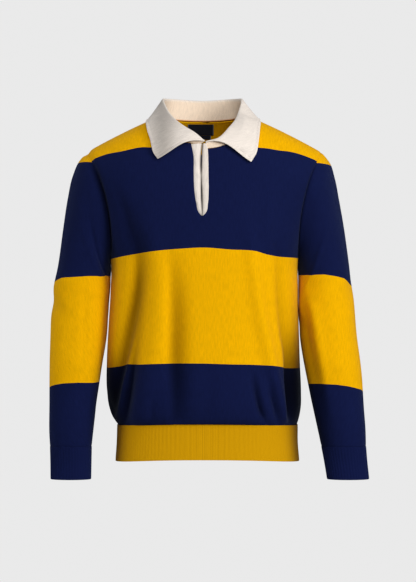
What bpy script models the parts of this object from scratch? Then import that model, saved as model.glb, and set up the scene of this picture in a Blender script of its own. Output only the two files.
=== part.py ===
"""Rugby sweater in a fine hooped knit, hollow and filled out as if worn.

Metres, +Z up, front towards -Y, the wearer's right at -X. The origin is at the base of the neck,
on the plane of the side seams, level with the seam between the back and the collar.
"""

import bpy
import numpy as np

# ---------------------------------------------------------------------------------------------
# Walls and seams
CLOTH_WALL = 0.0022
RIB_WALL = 0.0028
COLLAR_WALL = 0.0028
BAND_WALL = 0.0034
LABEL_WALL = 0.0009
SEAM_GAP = 0.0004
CORNER_GAP = 0.0009  # where two walls meet at an angle

# Body
SECTION_POWER = 2.4  # 2 is an ellipse, more is squarer
CENTRE_X = -0.0032  # the neck opening lies a little to the wearer's right
SHOULDER_ROLL = 0.100
SHOULDER_PEAK = 0.0132
SHOULDER_SLOPE = 0.43
SHOULDER_SAG = 0.45
SHOULDER_BLEND = 0.03
SHOULDER_TIP_X = 0.234
ARMPIT_Z = -0.285
ARMHOLE_POWER = 2.6
HEM_TOP_Z = -0.606

# Neck
NECK_HALF = 0.084
NECK_POWER = 2.4
NECK_CENTRE_Z = {"left": -0.0535, "right": -0.0635, "back": 0.0050}

# Each table is a dictionary of columns, with a row for each level or section.


def table(columns, *rows):
    """A short table: one array for each named column."""
    return dict(zip(columns.split(), np.array(rows).T))


# Half widths at the picture's left and right, and depths from the side seams. Above the armpit the
# half width is where the section would close if no armhole were cut.
BODY = table(
    "height left right front back",
    (-0.606, 0.1720, 0.1860, 0.108, 0.104),
    (-0.592, 0.1820, 0.1900, 0.117, 0.112),
    (-0.572, 0.1895, 0.1935, 0.123, 0.117),
    (-0.540, 0.1940, 0.1940, 0.126, 0.119),
    (-0.480, 0.1940, 0.1915, 0.125, 0.116),
    (-0.400, 0.1900, 0.1890, 0.123, 0.113),
    (-0.340, 0.1865, 0.1880, 0.124, 0.115),
    (-0.285, 0.1860, 0.1880, 0.126, 0.120),
    (-0.240, 0.1950, 0.1960, 0.127, 0.123),
    (-0.180, 0.2110, 0.2120, 0.126, 0.124),
    (-0.120, 0.2360, 0.2360, 0.121, 0.119),
    (-0.060, 0.2680, 0.2680, 0.112, 0.107),
    (0.000, 0.2900, 0.2900, 0.104, 0.094),
    (0.060, 0.3000, 0.3000, 0.100, 0.088),
)

# How far the front's courses stand higher on the centre line than at the side seam.
LIFT = table(
    "height front back",
    (-0.700, 0.0095, 0.000),
    (-0.606, 0.0070, 0.000),
    (-0.492, 0.0110, 0.003),
    (-0.285, 0.0210, 0.010),
    (-0.200, 0.0250, 0.014),
)

# The neck opening: its two edges and the slit between the bands.
PLACKET = table(
    "height left slit right",
    (-0.1945, -0.0032, -0.0032, -0.0032),
    (-0.1885, -0.0085, -0.0033, 0.0026),
    (-0.1700, -0.0138, -0.0040, 0.0070),
    (-0.1450, -0.0176, -0.0048, 0.0084),
    (-0.1100, -0.0190, -0.0056, 0.0080),
    (-0.0780, -0.0194, -0.0052, 0.0076),
    (-0.0500, -0.0252, -0.0030, 0.0058),
)

# Sleeves: the outermost and innermost place of each section, with its half depth and how far it
# hangs forward. The first section is the armhole.
SLEEVES = {
    "left": table(
        "reach outer outer_z inner inner_z depth forward",
        (0.000, 0.2340, -0.0625, 0.1890, -0.285, 0.0620, 0.000),
        (0.018, 0.2490, -0.0815, 0.1892, -0.290, 0.0620, 0.000),
        (0.045, 0.2615, -0.1100, 0.1894, -0.297, 0.0615, 0.000),
        (0.090, 0.2720, -0.1540, 0.1897, -0.311, 0.0610, 0.000),
        (0.150, 0.2810, -0.2120, 0.1900, -0.333, 0.0595, 0.000),
        (0.220, 0.2905, -0.2820, 0.1898, -0.362, 0.0580, 0.001),
        (0.290, 0.3030, -0.3520, 0.1915, -0.397, 0.0565, 0.003),
        (0.360, 0.3065, -0.4220, 0.1955, -0.440, 0.0535, 0.006),
        (0.430, 0.3080, -0.4920, 0.2045, -0.495, 0.0480, 0.010),
        (0.500, 0.3080, -0.5620, 0.2135, -0.560, 0.0415, 0.014),
        (0.560, 0.3080, -0.6220, 0.2205, -0.620, 0.0365, 0.017),
        (0.588, 0.3065, -0.6480, 0.2235, -0.648, 0.0315, 0.018),
    ),
    "right": table(
        "reach outer outer_z inner inner_z depth forward",
        (0.000, 0.2340, -0.0625, 0.1910, -0.285, 0.0620, 0.000),
        (0.018, 0.2500, -0.0830, 0.1914, -0.290, 0.0620, 0.000),
        (0.045, 0.2600, -0.1120, 0.1916, -0.297, 0.0615, 0.000),
        (0.090, 0.2695, -0.1560, 0.1918, -0.311, 0.0610, 0.000),
        (0.150, 0.2795, -0.2120, 0.1920, -0.333, 0.0595, 0.000),
        (0.220, 0.2890, -0.2800, 0.1922, -0.362, 0.0580, 0.001),
        (0.290, 0.2985, -0.3500, 0.1928, -0.397, 0.0570, 0.003),
        (0.360, 0.3045, -0.4220, 0.1942, -0.440, 0.0545, 0.006),
        (0.430, 0.3130, -0.4920, 0.2015, -0.495, 0.0500, 0.010),
        (0.500, 0.3180, -0.5600, 0.2145, -0.560, 0.0435, 0.014),
        (0.560, 0.3220, -0.6220, 0.2275, -0.620, 0.0370, 0.017),
        (0.588, 0.3225, -0.6480, 0.2335, -0.648, 0.0320, 0.018),
    ),
}
CUFFS = {
    "left": table(
        "height outer inner depth forward",
        (-0.714, 0.3050, 0.2245, 0.0235, 0.022),
        (-0.680, 0.3055, 0.2240, 0.0245, 0.020),
        (-0.648, 0.3065, 0.2235, 0.0315, 0.018),
    ),
    "right": table(
        "height outer inner depth forward",
        (-0.714, 0.3285, 0.2450, 0.0235, 0.022),
        (-0.680, 0.3250, 0.2395, 0.0245, 0.020),
        (-0.648, 0.3225, 0.2335, 0.0320, 0.018),
    ),
}
HEM = table(
    "height left right front back",
    (-0.678, 0.1755, 0.1890, 0.112, 0.108),
    (-0.640, 0.1730, 0.1860, 0.109, 0.105),
    (-0.606, 0.1720, 0.1860, 0.108, 0.104),
)

# Collar: the fold line and the free edge at stations from the front end to the centre back. The
# free edge lies on the panels, this far below the shoulder line in the front view. The last row
# is on the other half, so that the curves run level across the centre back.
COLLAR = {
    "left": table(
        "station fold_x fold_y fold_z edge_x edge_below",
        (0.00, 0.0010, -0.1160, -0.0490, -0.0896, 0.0971),
        (0.15, -0.0180, -0.1060, -0.0320, -0.1005, 0.0743),
        (0.30, -0.0440, -0.0860, -0.0145, -0.1075, 0.0490),
        (0.45, -0.0670, -0.0480, 0.0090, -0.1145, 0.0269),
        (0.60, -0.0820, 0.0020, 0.0440, -0.1225, 0.0000),
        (0.70, -0.0755, 0.0330, 0.0468, -0.1060, 0.0070),
        (0.80, -0.0620, 0.0580, 0.0480, -0.0830, 0.0250),
        (1.00, -0.0032, 0.0800, 0.0465, -0.0032, 0.0590),
        (1.20, 0.0556, 0.0580, 0.0480, 0.0766, 0.0250),
    ),
    "right": table(
        "station fold_x fold_y fold_z edge_x edge_below",
        (0.00, -0.0010, -0.1160, -0.0490, 0.0919, 0.0981),
        (0.15, 0.0290, -0.1070, -0.0420, 0.1025, 0.0742),
        (0.30, 0.0480, -0.0860, -0.0220, 0.1065, 0.0494),
        (0.45, 0.0650, -0.0480, 0.0030, 0.1090, 0.0293),
        (0.60, 0.0760, 0.0020, 0.0430, 0.1140, 0.0000),
        (0.70, 0.0690, 0.0330, 0.0464, 0.0985, 0.0070),
        (0.80, 0.0556, 0.0580, 0.0480, 0.0766, 0.0250),
        (1.00, -0.0032, 0.0800, 0.0465, -0.0032, 0.0590),
        (1.20, -0.0620, 0.0580, 0.0480, -0.0830, 0.0250),
    ),
}
SIDE_SIGN = {"left": -1, "right": 1}
FACE_SIGN = {"front": -1, "back": 1}


def smooth(at, knots, values):
    """Cubic curve through a table's column, with each row's slope taken from its neighbours."""
    slopes = np.gradient(values, knots)
    at = np.clip(at, knots[0], knots[-1])
    low = np.clip(np.searchsorted(knots, at) - 1, 0, len(knots) - 2)
    step = knots[low + 1] - knots[low]
    share = (at - knots[low]) / step
    rest = 1 - share
    return (
        values[low] * (1 + 2 * share) * rest**2
        + values[low + 1] * share**2 * (3 - 2 * share)
        + step * share * rest * (slopes[low] * rest - slopes[low + 1] * share)
    )


def shoulder_line(x):
    """Height of the shoulder seam: a slope with a little sag, rounded over the neck."""
    out = np.hypot(x, SHOULDER_BLEND) - NECK_HALF
    return SHOULDER_PEAK - SHOULDER_SLOPE * out - SHOULDER_SAG * out**2


def half_width(x, z):
    """Half width of the body's section at a height, to the middle of its wall."""
    knots = BODY["height"]
    outside = np.where(x < 0, smooth(z, knots, BODY["left"]), smooth(z, knots, BODY["right"]))
    return outside - CLOTH_WALL / 2


def body_depth(x, z, face):
    """Distance of a panel from the plane of the side seams, at a place in the front view.

    Across, a superellipse of the level's half width and depth. Under the shoulder line, a quarter
    circle brings it to nothing.
    """
    depth = smooth(z, BODY["height"], BODY[face])
    closing = np.clip(1 - (np.abs(x) / half_width(x, z)) ** SECTION_POWER, 0, 1)
    below = np.clip((shoulder_line(x) - z) / SHOULDER_ROLL, 0, 1)
    return depth * closing ** (1 / SECTION_POWER) * np.sqrt(1 - (1 - below) ** 2)


def armhole_x(z, armpit_x):
    """Distance of the armhole seam from the middle, from the armpit out to the shoulder tip."""
    tip_z = shoulder_line(SHOULDER_TIP_X)
    rise = np.clip((z - ARMPIT_Z) / (tip_z - ARMPIT_Z), 0, 1)
    return armpit_x + (SHOULDER_TIP_X - armpit_x) * rise**ARMHOLE_POWER


def neck_top(side):
    """Front view of the neck seam's side: the place where it crosses the shoulder seam."""
    x = CENTRE_X + SIDE_SIGN[side] * NECK_HALF
    return x, shoulder_line(x)


def neck_drop(side, face):
    """How far the neck seam falls from its side to the centre line."""
    return neck_top(side)[1] - NECK_CENTRE_Z["back" if face == "back" else side]


def neckline(side, face, angle):
    """Front view of the neck seam: a superellipse from the shoulder (0) to the centre (90 deg)."""
    x = CENTRE_X + SIDE_SIGN[side] * NECK_HALF * np.cos(angle) ** (2 / NECK_POWER)
    return x, neck_top(side)[1] - neck_drop(side, face) * np.sin(angle) ** (2 / NECK_POWER)


# ---------------------------------------------------------------------------------------------
# Panels

LOW_ROWS = 10  # from the hem to the armpit
OPEN_ROWS = 1  # from the armpit's level to the foot of the neck opening
SLOT_ROWS = 7  # along the neck opening
NECK_ROWS = 6  # along the neck seam
ARM_ROWS = OPEN_ROWS + SLOT_ROWS + NECK_ROWS
ARM_SPACING = 0.85  # less than 1 puts more rows near the shoulder
COLUMNS = {"front": 12, "back": 8}  # in half a panel
PANEL_GAP = 0.0008
SLOT_FOOT = 0.0012  # how far the slot is cut below the bands
SLOT_SPACING = 1.6  # more than 1 puts more rows near the slot's foot

# The largest folds, seen from the front: each runs from one height down to another and fades at
# both ends. Bow is how far its middle lies from the straight line; height is outward.
FOLDS = {
    "front": table(
        "from_z to_z from_x to_x bow width height",
        (-0.195, -0.570, -0.120, -0.180, 0.0150, 0.016, -0.0075),
        (-0.270, -0.570, -0.052, -0.050, 0.0000, 0.018, -0.0035),
        (-0.235, -0.600, 0.102, 0.172, 0.0000, 0.013, 0.0055),
        (-0.310, -0.580, 0.076, 0.152, -0.0060, 0.013, -0.0045),
    ),
    "back": table(
        "from_z to_z from_x to_x bow width height",
        (-0.180, -0.540, -0.130, -0.155, 0.0130, 0.017, -0.0065),
        (-0.300, -0.585, -0.060, -0.085, 0.0060, 0.018, 0.0045),
        (-0.250, -0.560, 0.055, 0.040, 0.0000, 0.020, -0.0040),
        (-0.190, -0.575, 0.125, 0.160, -0.0120, 0.016, -0.0065),
    ),
}
FOLD_MARGIN = 0.030  # folds die away this near to a seam


def arm_angles():
    """Angles round the armhole, from the armpit (180 degrees) to the shoulder tip (0)."""
    return np.pi * (1 - np.linspace(0, 1, ARM_ROWS + 1) ** ARM_SPACING)


def armhole_z(angle):
    """Height of the armhole seam at an angle round it."""
    tip_z = shoulder_line(SHOULDER_TIP_X)
    return (tip_z + ARMPIT_Z) / 2 + (tip_z - ARMPIT_Z) / 2 * np.cos(angle)


def armpit_x(side):
    """Distance of the armpit from the middle: the side seam meets the armhole there."""
    return float(half_width(SIDE_SIGN[side], ARMPIT_Z))


def slot_x(side, z):
    """Front-view edge of the neck opening's slot, which clears its bands by a seam."""
    edge = smooth(z, PLACKET["height"], PLACKET[side])
    return edge + SIDE_SIGN[side] * SEAM_GAP


def outer_edge(side):
    """Front view of a half panel's side: the side seam, then the armhole seam."""
    low_z = np.linspace(HEM_TOP_Z, ARMPIT_Z, LOW_ROWS + 1)
    arm_z = armhole_z(arm_angles())[1:]
    low_x = half_width(SIDE_SIGN[side], low_z)
    arm_x = armhole_x(arm_z, armpit_x(side))
    return SIDE_SIGN[side] * np.append(low_x, arm_x), np.append(low_z, arm_z)


def slot_heights(side):
    """Heights of the rows along the slot, from its foot to the neck seam."""
    foot = PLACKET["height"][0] - SLOT_FOOT
    top = neckline(side, "front", neck_start(side))[1]
    return foot + (top - foot) * np.linspace(0, 1, SLOT_ROWS + 1) ** SLOT_SPACING


def neck_start(side):
    """Angle on the neck seam where the slot's edge meets it."""
    angles = np.linspace(0, np.pi / 2, 2000)
    x, z = neckline(side, "front", angles)
    return angles[np.argmin(np.abs(x - slot_x(side, z)))]


def inner_edge(side, face):
    """Front view of a half panel's inner side: centre line, slot, then neck seam."""
    low_z = np.linspace(HEM_TOP_Z, ARMPIT_Z, LOW_ROWS + 1)
    low_z = low_z + smooth(low_z, LIFT["height"], LIFT[face])
    first = neck_start(side) if face == "front" else np.pi / 2
    neck_x, neck_z = neckline(side, face, np.linspace(first, 0, NECK_ROWS + 1))
    if face == "back":
        mid_z = np.linspace(low_z[-1], neck_z[0], OPEN_ROWS + SLOT_ROWS + 1)[1:-1]
        mid_x = np.full_like(mid_z, CENTRE_X)
    else:
        open_z = np.linspace(low_z[-1], slot_heights(side)[0], OPEN_ROWS + 1)[1:]
        slot_z = slot_heights(side)[1:-1]
        mid_z = np.append(open_z, slot_z)
        mid_x = np.append(np.full_like(open_z, CENTRE_X), slot_x(side, slot_z))
    x = np.concatenate([np.full_like(low_z, CENTRE_X), mid_x, neck_x])
    return x, np.concatenate([low_z, mid_z, neck_z])


def folded(x, z, face):
    """Height of the folds at a place in the front view: the sum of the table's bowed ridges."""
    total = np.zeros_like(x)
    folds = FOLDS[face]
    for i in range(len(folds["width"])):
        fold = {name: column[i] for name, column in folds.items()}
        along = np.clip((z - fold["from_z"]) / (fold["to_z"] - fold["from_z"]), 0, 1)
        arch = 4 * along * (1 - along)
        middle = fold["from_x"] + (fold["to_x"] - fold["from_x"]) * along + fold["bow"] * arch
        total += fold["height"] * np.sqrt(arch) * np.exp(-(((x - middle) / fold["width"]) ** 2))
    return total


def half_panel(side, face):
    """Half a panel as a grid of points, hem to shoulder and centre to side.

    Each row runs in the front view from the inner edge to the outer one, spaced so that it stays
    even where the section turns round the side; the body's section then gives its depth. The
    upper rows bend to follow the shoulder line.
    """
    inner_x, inner_z = (edge[:, None] for edge in inner_edge(side, face))
    outer_x, outer_z = (edge[:, None] for edge in outer_edge(side))
    share = np.linspace(0, 1, COLUMNS[face] + 1)[None, :]
    reach = (np.abs(outer_x) / half_width(outer_x, outer_z)) ** (SECTION_POWER / 2)
    turn = np.arcsin(np.clip(reach, 0, 1))
    out = (np.sin(share * turn) / np.sin(turn)) ** (2 / SECTION_POWER)
    x = inner_x + (outer_x - inner_x) * out
    rows = np.arange(LOW_ROWS + ARM_ROWS + 1)[:, None]
    bend = np.clip((rows - LOW_ROWS) / ARM_ROWS, 0, 1)
    straight = shoulder_line(inner_x) + (shoulder_line(outer_x) - shoulder_line(inner_x)) * out
    z = inner_z + (outer_z - inner_z) * out ** (2 - bend) + bend * (shoulder_line(x) - straight)
    depth = np.maximum(body_depth(x, z, face), PANEL_GAP / 2)
    from_hem = np.clip((z - HEM_TOP_Z) / FOLD_MARGIN, 0, 1)
    from_side = np.clip((1 - share) * COLUMNS[face] / 2, 0, 1)
    return np.stack([x, FACE_SIGN[face] * (depth + folded(x, z, face) * from_hem * from_side), z], 2)


# ---------------------------------------------------------------------------------------------
# Sleeves, cuffs and hem

SLEEVE_ROWS = 11
SLEEVE_SPACING = 1.35  # more than 1 puts more rows near the shoulder
ARMHOLE_FADE = 0.11  # the armhole's own shape has gone this far down the sleeve

# Creases round the upper arm, elbow and forearm: where on the sleeve, by reach and angle from the
# outer side (90 degrees is the front), how long and wide, how far it climbs per turn, how high.
SLEEVE_FOLDS = {
    "left": table(
        "reach angle spread width climb height",
        (0.300, 20, 75, 0.022, 0.020, -0.0050),
        (0.245, 60, 60, 0.022, -0.030, 0.0035),
        (0.150, 120, 50, 0.024, 0.060, -0.0040),
        (0.330, 200, 70, 0.024, 0.030, -0.0045),
        (0.420, 100, 60, 0.026, 0.020, 0.0030),
    ),
    "right": table(
        "reach angle spread width climb height",
        (0.280, 50, 60, 0.024, 0.030, -0.0035),
        (0.140, 110, 50, 0.024, 0.070, 0.0040),
        (0.340, 210, 70, 0.024, 0.020, -0.0045),
        (0.430, 80, 60, 0.026, -0.020, 0.0030),
    ),
}


def sleeve_angles():
    """Angles round a sleeve: down the front from the tip to the armpit, and up the back."""
    down = arm_angles()[::-1]
    return np.append(down, 2 * np.pi - down[::-1][1:-1])


def armhole(side, angle):
    """The sleeve's edge: the armhole seam, moved out to lie against the panels' edge.

    It butts on the panels at the shoulder and lies beside them at the armpit.
    """
    z = armhole_z(angle)
    x = armhole_x(z, armpit_x(side))
    sign = SIDE_SIGN[side]
    front = body_depth(sign * x, z, "front")
    back = body_depth(sign * x, z, "back")
    y = np.where(np.sin(angle) >= 0, -front, back)
    aside = CORNER_GAP + CLOTH_WALL * (1 - np.cos(angle)) / 2
    return np.stack([sign * (x + aside), y, z], -1)


def sleeve_section(side, reach, angle):
    """A point of the sleeve's plain form: an ellipse between its outer and inner places."""
    rows = SLEEVES[side]
    at = {name: smooth(reach, rows["reach"], column) for name, column in rows.items()}
    middle = (at["outer"] + at["inner"]) / 2
    middle_z = (at["outer_z"] + at["inner_z"]) / 2
    x = middle + (at["outer"] - at["inner"] - CLOTH_WALL) / 2 * np.cos(angle)
    z = middle_z + (at["outer_z"] - at["inner_z"]) / 2 * np.cos(angle)
    y = -at["depth"] * np.sin(angle) - at["forward"]
    return np.stack([SIDE_SIGN[side] * x, y, z], -1)


def sleeve_folded(side, reach, angle):
    """Height of the sleeve's creases: each is a soft ridge along a slanting line."""
    total = np.zeros(np.broadcast(reach, angle).shape)
    folds = SLEEVE_FOLDS[side]
    for i in range(len(folds["width"])):
        fold = {name: column[i] for name, column in folds.items()}
        turn = (angle - np.radians(fold["angle"]) + np.pi) % (2 * np.pi) - np.pi
        across = (reach - fold["reach"] - fold["climb"] * turn) / fold["width"]
        total += fold["height"] * np.exp(-(across**2) - (turn / np.radians(fold["spread"])) ** 2)
    return total


def sleeve(side):
    """The sleeve as a grid, armhole to cuff seam: its sections, with the armhole fading out."""
    share = np.linspace(0, 1, SLEEVE_ROWS + 1)[:, None] ** SLEEVE_SPACING
    reach = SLEEVES[side]["reach"][-1] * share
    angle = sleeve_angles()[None, :]
    points = sleeve_section(side, reach, angle)
    start = armhole(side, angle) - points[:1]
    left = np.clip(1 - reach / ARMHOLE_FADE, 0, 1)
    points = points + start * (left**2 * (3 - 2 * left))[..., None]
    middle = points.mean(axis=1, keepdims=True)
    outward = points - middle
    outward /= np.linalg.norm(outward, axis=2, keepdims=True)
    ends = np.sin(np.pi * share) ** 0.5
    return points + outward * (sleeve_folded(side, reach, angle) * ends)[..., None]


def cuff(side):
    """The cuff as a grid of three elliptical rings, the top one just clear of the sleeve."""
    rows = CUFFS[side]
    middle = ((rows["outer"] + rows["inner"]) / 2)[:, None]
    half = ((rows["outer"] - rows["inner"]) / 2)[:, None]
    angle = sleeve_angles()[None, :]
    x = SIDE_SIGN[side] * (middle + half * np.cos(angle))
    y = -rows["depth"][:, None] * np.sin(angle) - rows["forward"][:, None]
    z = np.repeat(rows["height"][:, None], angle.size, axis=1)
    z[-1] -= CORNER_GAP
    return np.stack([x, y, z], 2)


def hem_half(side, face):
    """Half of one face of the hem rib, from the centre line to the side seam."""
    share = np.linspace(0, 1, COLUMNS[face] + 1)[None, :]
    out = np.sin(share * np.pi / 2) ** (2 / SECTION_POWER)
    width = SIDE_SIGN[side] * HEM[side][:, None]
    x = CENTRE_X + (width - CENTRE_X) * out
    closing = np.clip(1 - (np.abs(x) / np.abs(width)) ** SECTION_POWER, 0, 1)
    y = FACE_SIGN[face] * HEM[face][:, None] * closing ** (1 / SECTION_POWER)
    lift = smooth(HEM["height"], LIFT["height"], LIFT[face])[:, None]
    z = HEM["height"][:, None] + lift * (1 - out**2)
    z[-1] -= CORNER_GAP
    return np.stack([x, y, z], 2)


def hem():
    """The hem rib as a ring of points, round the front from left to right and back."""
    front = np.concatenate([hem_half("left", "front")[:, ::-1], hem_half("right", "front")[:, 1:]], 1)
    back = np.concatenate([hem_half("right", "back")[:, ::-1], hem_half("left", "back")[:, 1:]], 1)
    return np.concatenate([front, back[:, 1:-1]], axis=1)


# ---------------------------------------------------------------------------------------------
# Collar, bands and labels

SHOULDER_STATION = 0.6  # the collar's station at the shoulder seam
STAND_ROWS = 4
FALL_ROWS = 6
STAND_FOOT = 0.0013  # the stand's foot over the neck seam where the two are in line
STAND_LEVEL_FOOT = 0.0021  # and how much more where the panel lies level under it
FALL_LIFT = 0.0060  # the fall's middle over the panel's
FOLD_ROLL = 0.014  # how broadly the collar turns over
FRONT_RUN = 0.055  # how far the front end's fall runs level before it drops to the point
FRONT_RUN_STATION = 0.3  # where this has faded out
FALL_SPACING = 1.2  # more than 1 puts more rows near the fold
FALL_FLARE = np.array((1.2, 1.2, 0.85))  # the fall's slope at its free edge, over its chord
LEAST_STEEP = 0.35  # bounds the fall's lift near the shoulder seam, where the panel lies level
NECK_MIDDLE = np.array((CENTRE_X, -0.02, 0.0))
SLIT_HALF = 0.0014
SLIT_HALF_SHARE = 0.35  # but no more than this much of a band's own width
BAND_ACROSS = 3
BAND_TOP_GAP = 0.0011
LABELS = table(
    "left right bottom top",
    (-0.0330, 0.0195, -0.0205, 0.0015),
    (-0.0265, 0.0140, -0.0290, -0.0212),
)
LABEL_NAMES = ("neck_label", "size_tab")
LABEL_LIFT = 0.0040
LABEL_POINTS = (5, 3)  # across and up


def collar_stations(side):
    """Stations along half the collar: those of the panels' rows on the neck seam."""
    front = np.linspace(neck_start(side), 0, NECK_ROWS + 1)
    front = np.concatenate([[np.pi / 2, (np.pi / 2 + front[0]) / 2], front[:-1], [front[-2] / 2, 0]])
    back = np.linspace(0, np.pi / 2, NECK_ROWS + 1)[1:]
    back = np.append(back[0] / 2, back)
    front = SHOULDER_STATION * (1 - front / (np.pi / 2))
    return np.append(front, SHOULDER_STATION + (1 - SHOULDER_STATION) * back / (np.pi / 2))


def level_share(x, z):
    """How level the body lies at a place in the front view: 1 on the shoulder seam, 0 below."""
    return 1 - np.clip((shoulder_line(x) - z) / SHOULDER_ROLL, 0, 1)


def neck_foot(side, station):
    """Foot of the collar's stand: along the neck seam, a little over it."""
    front = np.clip(1 - station / SHOULDER_STATION, 0, 1)
    back = np.clip((station - SHOULDER_STATION) / (1 - SHOULDER_STATION), 0, 1)
    front_x, front_z = neckline(side, "front", front * np.pi / 2)
    back_x, back_z = neckline(side, "back", back * np.pi / 2)
    front_y = -body_depth(front_x, front_z, "front")
    back_y = body_depth(back_x, back_z, "back")
    ahead = station < SHOULDER_STATION
    x = np.where(ahead, front_x, back_x)
    sign = SIDE_SIGN[side]
    off_centre = np.where(ahead, np.maximum(sign * (x - CENTRE_X), SLIT_HALF), sign * (x - CENTRE_X))
    y = np.where(ahead, front_y, back_y)
    z = np.where(ahead, front_z, back_z)
    z = z + STAND_FOOT + STAND_LEVEL_FOOT * level_share(x, z)
    return np.stack([CENTRE_X + sign * off_centre, y, z], -1)


def neck_share(side, facing, x, z):
    """How far out of the neck a place in the front view lies: 1 on the neck seam."""
    drop = np.where(facing < 0, neck_drop(side, "front"), neck_drop(side, "back"))
    across = np.abs(x - CENTRE_X) / NECK_HALF
    down = np.clip(neck_top(side)[1] - z, 0, None) / drop
    return (across**NECK_POWER + down**NECK_POWER) ** (1 / NECK_POWER)


def over_panel(x, z, facing, lift):
    """The panel's point at a place in the front view, moved out; facing is -1 front, 1 back."""
    front = body_depth(x, z, "front")
    back = body_depth(x, z, "back")
    depth = np.where(facing < 0, front, back)
    level = level_share(x, z)
    steep = np.sqrt(1 - level**2)
    return np.stack([x, facing * (depth + lift * steep), z + lift * level], -1)


def unit(vectors):
    """The same directions with length 1."""
    return vectors / np.linalg.norm(vectors, axis=-1, keepdims=True)


def hermite(start, start_pull, end, end_pull, share):
    """Cubic curve between two points that leaves and arrives along the two pulls."""
    rest = 1 - share
    return (
        start * (1 + 2 * share) * rest**2
        + end * share**2 * (3 - 2 * share)
        + start_pull * share * rest**2
        - end_pull * share**2 * rest
    )


def half_collar(side):
    """Half the collar as a grid: stand from the neck seam to the fold, fall to the free edge."""
    rows = COLLAR[side]
    station = collar_stations(side)
    at = {name: smooth(station, rows["station"], column) for name, column in rows.items()}
    foot = neck_foot(side, station)
    fold = np.stack([at["fold_x"], at["fold_y"], at["fold_z"]], -1)
    facing = np.where(station < SHOULDER_STATION, -1, 1)
    edge_z = shoulder_line(at["edge_x"]) - np.clip(at["edge_below"], 0, None)
    edge = over_panel(at["edge_x"], edge_z, facing, FALL_LIFT)
    into = unit(unit(fold - foot) - unit(edge - fold))
    over = unit(np.cross(np.gradient(fold, axis=0), into))
    over *= np.sign(np.sum(over * (fold - NECK_MIDDLE) * (1, 1, 0), axis=1, keepdims=True))
    rise = np.linalg.norm(fold - foot, axis=1, keepdims=True)
    run = np.clip(1 - station / FRONT_RUN_STATION, 0, 1)[:, None] * FRONT_RUN
    stand_share = np.linspace(0, 1, STAND_ROWS + 1)[:, None, None]
    fall_share = np.linspace(0, 1, FALL_ROWS + 1)[1:, None, None] ** FALL_SPACING
    roll = over * FOLD_ROLL
    stand = hermite(foot, fold - foot, fold, over * np.minimum(FOLD_ROLL, rise), stand_share)
    start_pull = roll + run * (SIDE_SIGN[side], 0, 0)
    fall = hermite(fold, start_pull, edge, (edge - fold) * FALL_FLARE, fall_share)
    steep = np.sqrt(1 - level_share(fall[..., 0], fall[..., 2]) ** 2)
    least = over_panel(fall[..., 0], fall[..., 2], facing, 0)[..., 1] * facing
    least = least + FALL_LIFT / np.maximum(steep, LEAST_STEEP)
    start = neck_share(side, facing, fold[:, 0], fold[:, 2])
    past = (neck_share(side, facing, fall[..., 0], fall[..., 2]) - start) / (1 - start)
    past = np.clip(np.where(fall[..., 2] < shoulder_line(fall[..., 0]), past, 0), 0, 1)
    depth = fall[..., 1] * facing
    fall[..., 1] = facing * (depth + (np.maximum(depth, least) - depth) * past)
    return np.concatenate([stand, fall])


def band(side):
    """A placket band as a grid, foot to top, from the slit to a seam short of the slot's edge."""
    sign = SIDE_SIGN[side]
    rows = slot_heights(side)
    z = rows.copy()
    z[0] = (rows[0] + rows[1]) / 2
    z[-1] -= BAND_TOP_GAP
    slot = slot_x(side, rows)
    slot[0] = CENTRE_X
    edge = np.interp(z, rows, slot) - sign * 2 * SEAM_GAP
    slit = smooth(z, PLACKET["height"], PLACKET["slit"])
    slit = slit + sign * np.minimum(SLIT_HALF, np.abs(edge - slit) * SLIT_HALF_SHARE)
    x = slit[:, None] + (edge - slit)[:, None] * np.linspace(0, 1, BAND_ACROSS)
    z = z[:, None] + 0 * x
    return np.stack([x, -body_depth(x, z, "front"), z], 2)


def label(row):
    """A label as a grid just inside the back panel."""
    x = np.linspace(LABELS["left"][row], LABELS["right"][row], LABEL_POINTS[0])[None, :]
    z = np.linspace(LABELS["bottom"][row], LABELS["top"][row], LABEL_POINTS[1])[:, None]
    x, z = np.broadcast_arrays(x, z)
    return over_panel(x, z, 1, -LABEL_LIFT)


# ---------------------------------------------------------------------------------------------
# Objects


def fabric(name, colour, roughness):
    """A plain knitted finish."""
    material = bpy.data.materials.new(name)
    material.use_nodes = True
    shader = material.node_tree.nodes["Principled BSDF"]
    shader.inputs["Base Color"].default_value = (*colour, 1)
    shader.inputs["Roughness"].default_value = roughness
    shader.inputs["Metallic"].default_value = 0
    material.diffuse_color = (*colour, 1)
    return material


def cloth(name, grids, wall, material, closed=False):
    """One sheet from grids that share edges, given its wall; closed joins each grid's sides."""
    points = []
    faces = []
    for grid in grids:
        rows, columns, _ = grid.shape
        index = np.arange(rows * columns).reshape(rows, columns) + sum(map(len, points))
        if closed:
            index = np.append(index, index[:, :1], axis=1)
        corners = (index[:-1, :-1], index[:-1, 1:], index[1:, 1:], index[1:, :-1])
        quads = np.stack(corners, 2).reshape(-1, 4)
        flipped = grid[0, 0, 0] > grid[0, -1, 0] and not closed
        faces.append(quads[:, ::-1] if flipped else quads)
        points.append(grid.reshape(-1, 3))
    points = np.concatenate(points)
    keys = np.round(points * 1e6).astype(int)
    _, first, merged = np.unique(keys, axis=0, return_index=True, return_inverse=True)
    mesh = bpy.data.meshes.new(name)
    mesh.from_pydata(points[first].tolist(), [], merged.reshape(-1)[np.concatenate(faces)].tolist())
    mesh.materials.append(material)
    mesh.shade_smooth()
    item = bpy.data.objects.new(name, mesh)
    bpy.context.collection.objects.link(item)
    solidify = item.modifiers.new("wall", "SOLIDIFY")
    solidify.thickness = wall
    solidify.offset = 0
    solidify.use_even_offset = True
    return item


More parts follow.
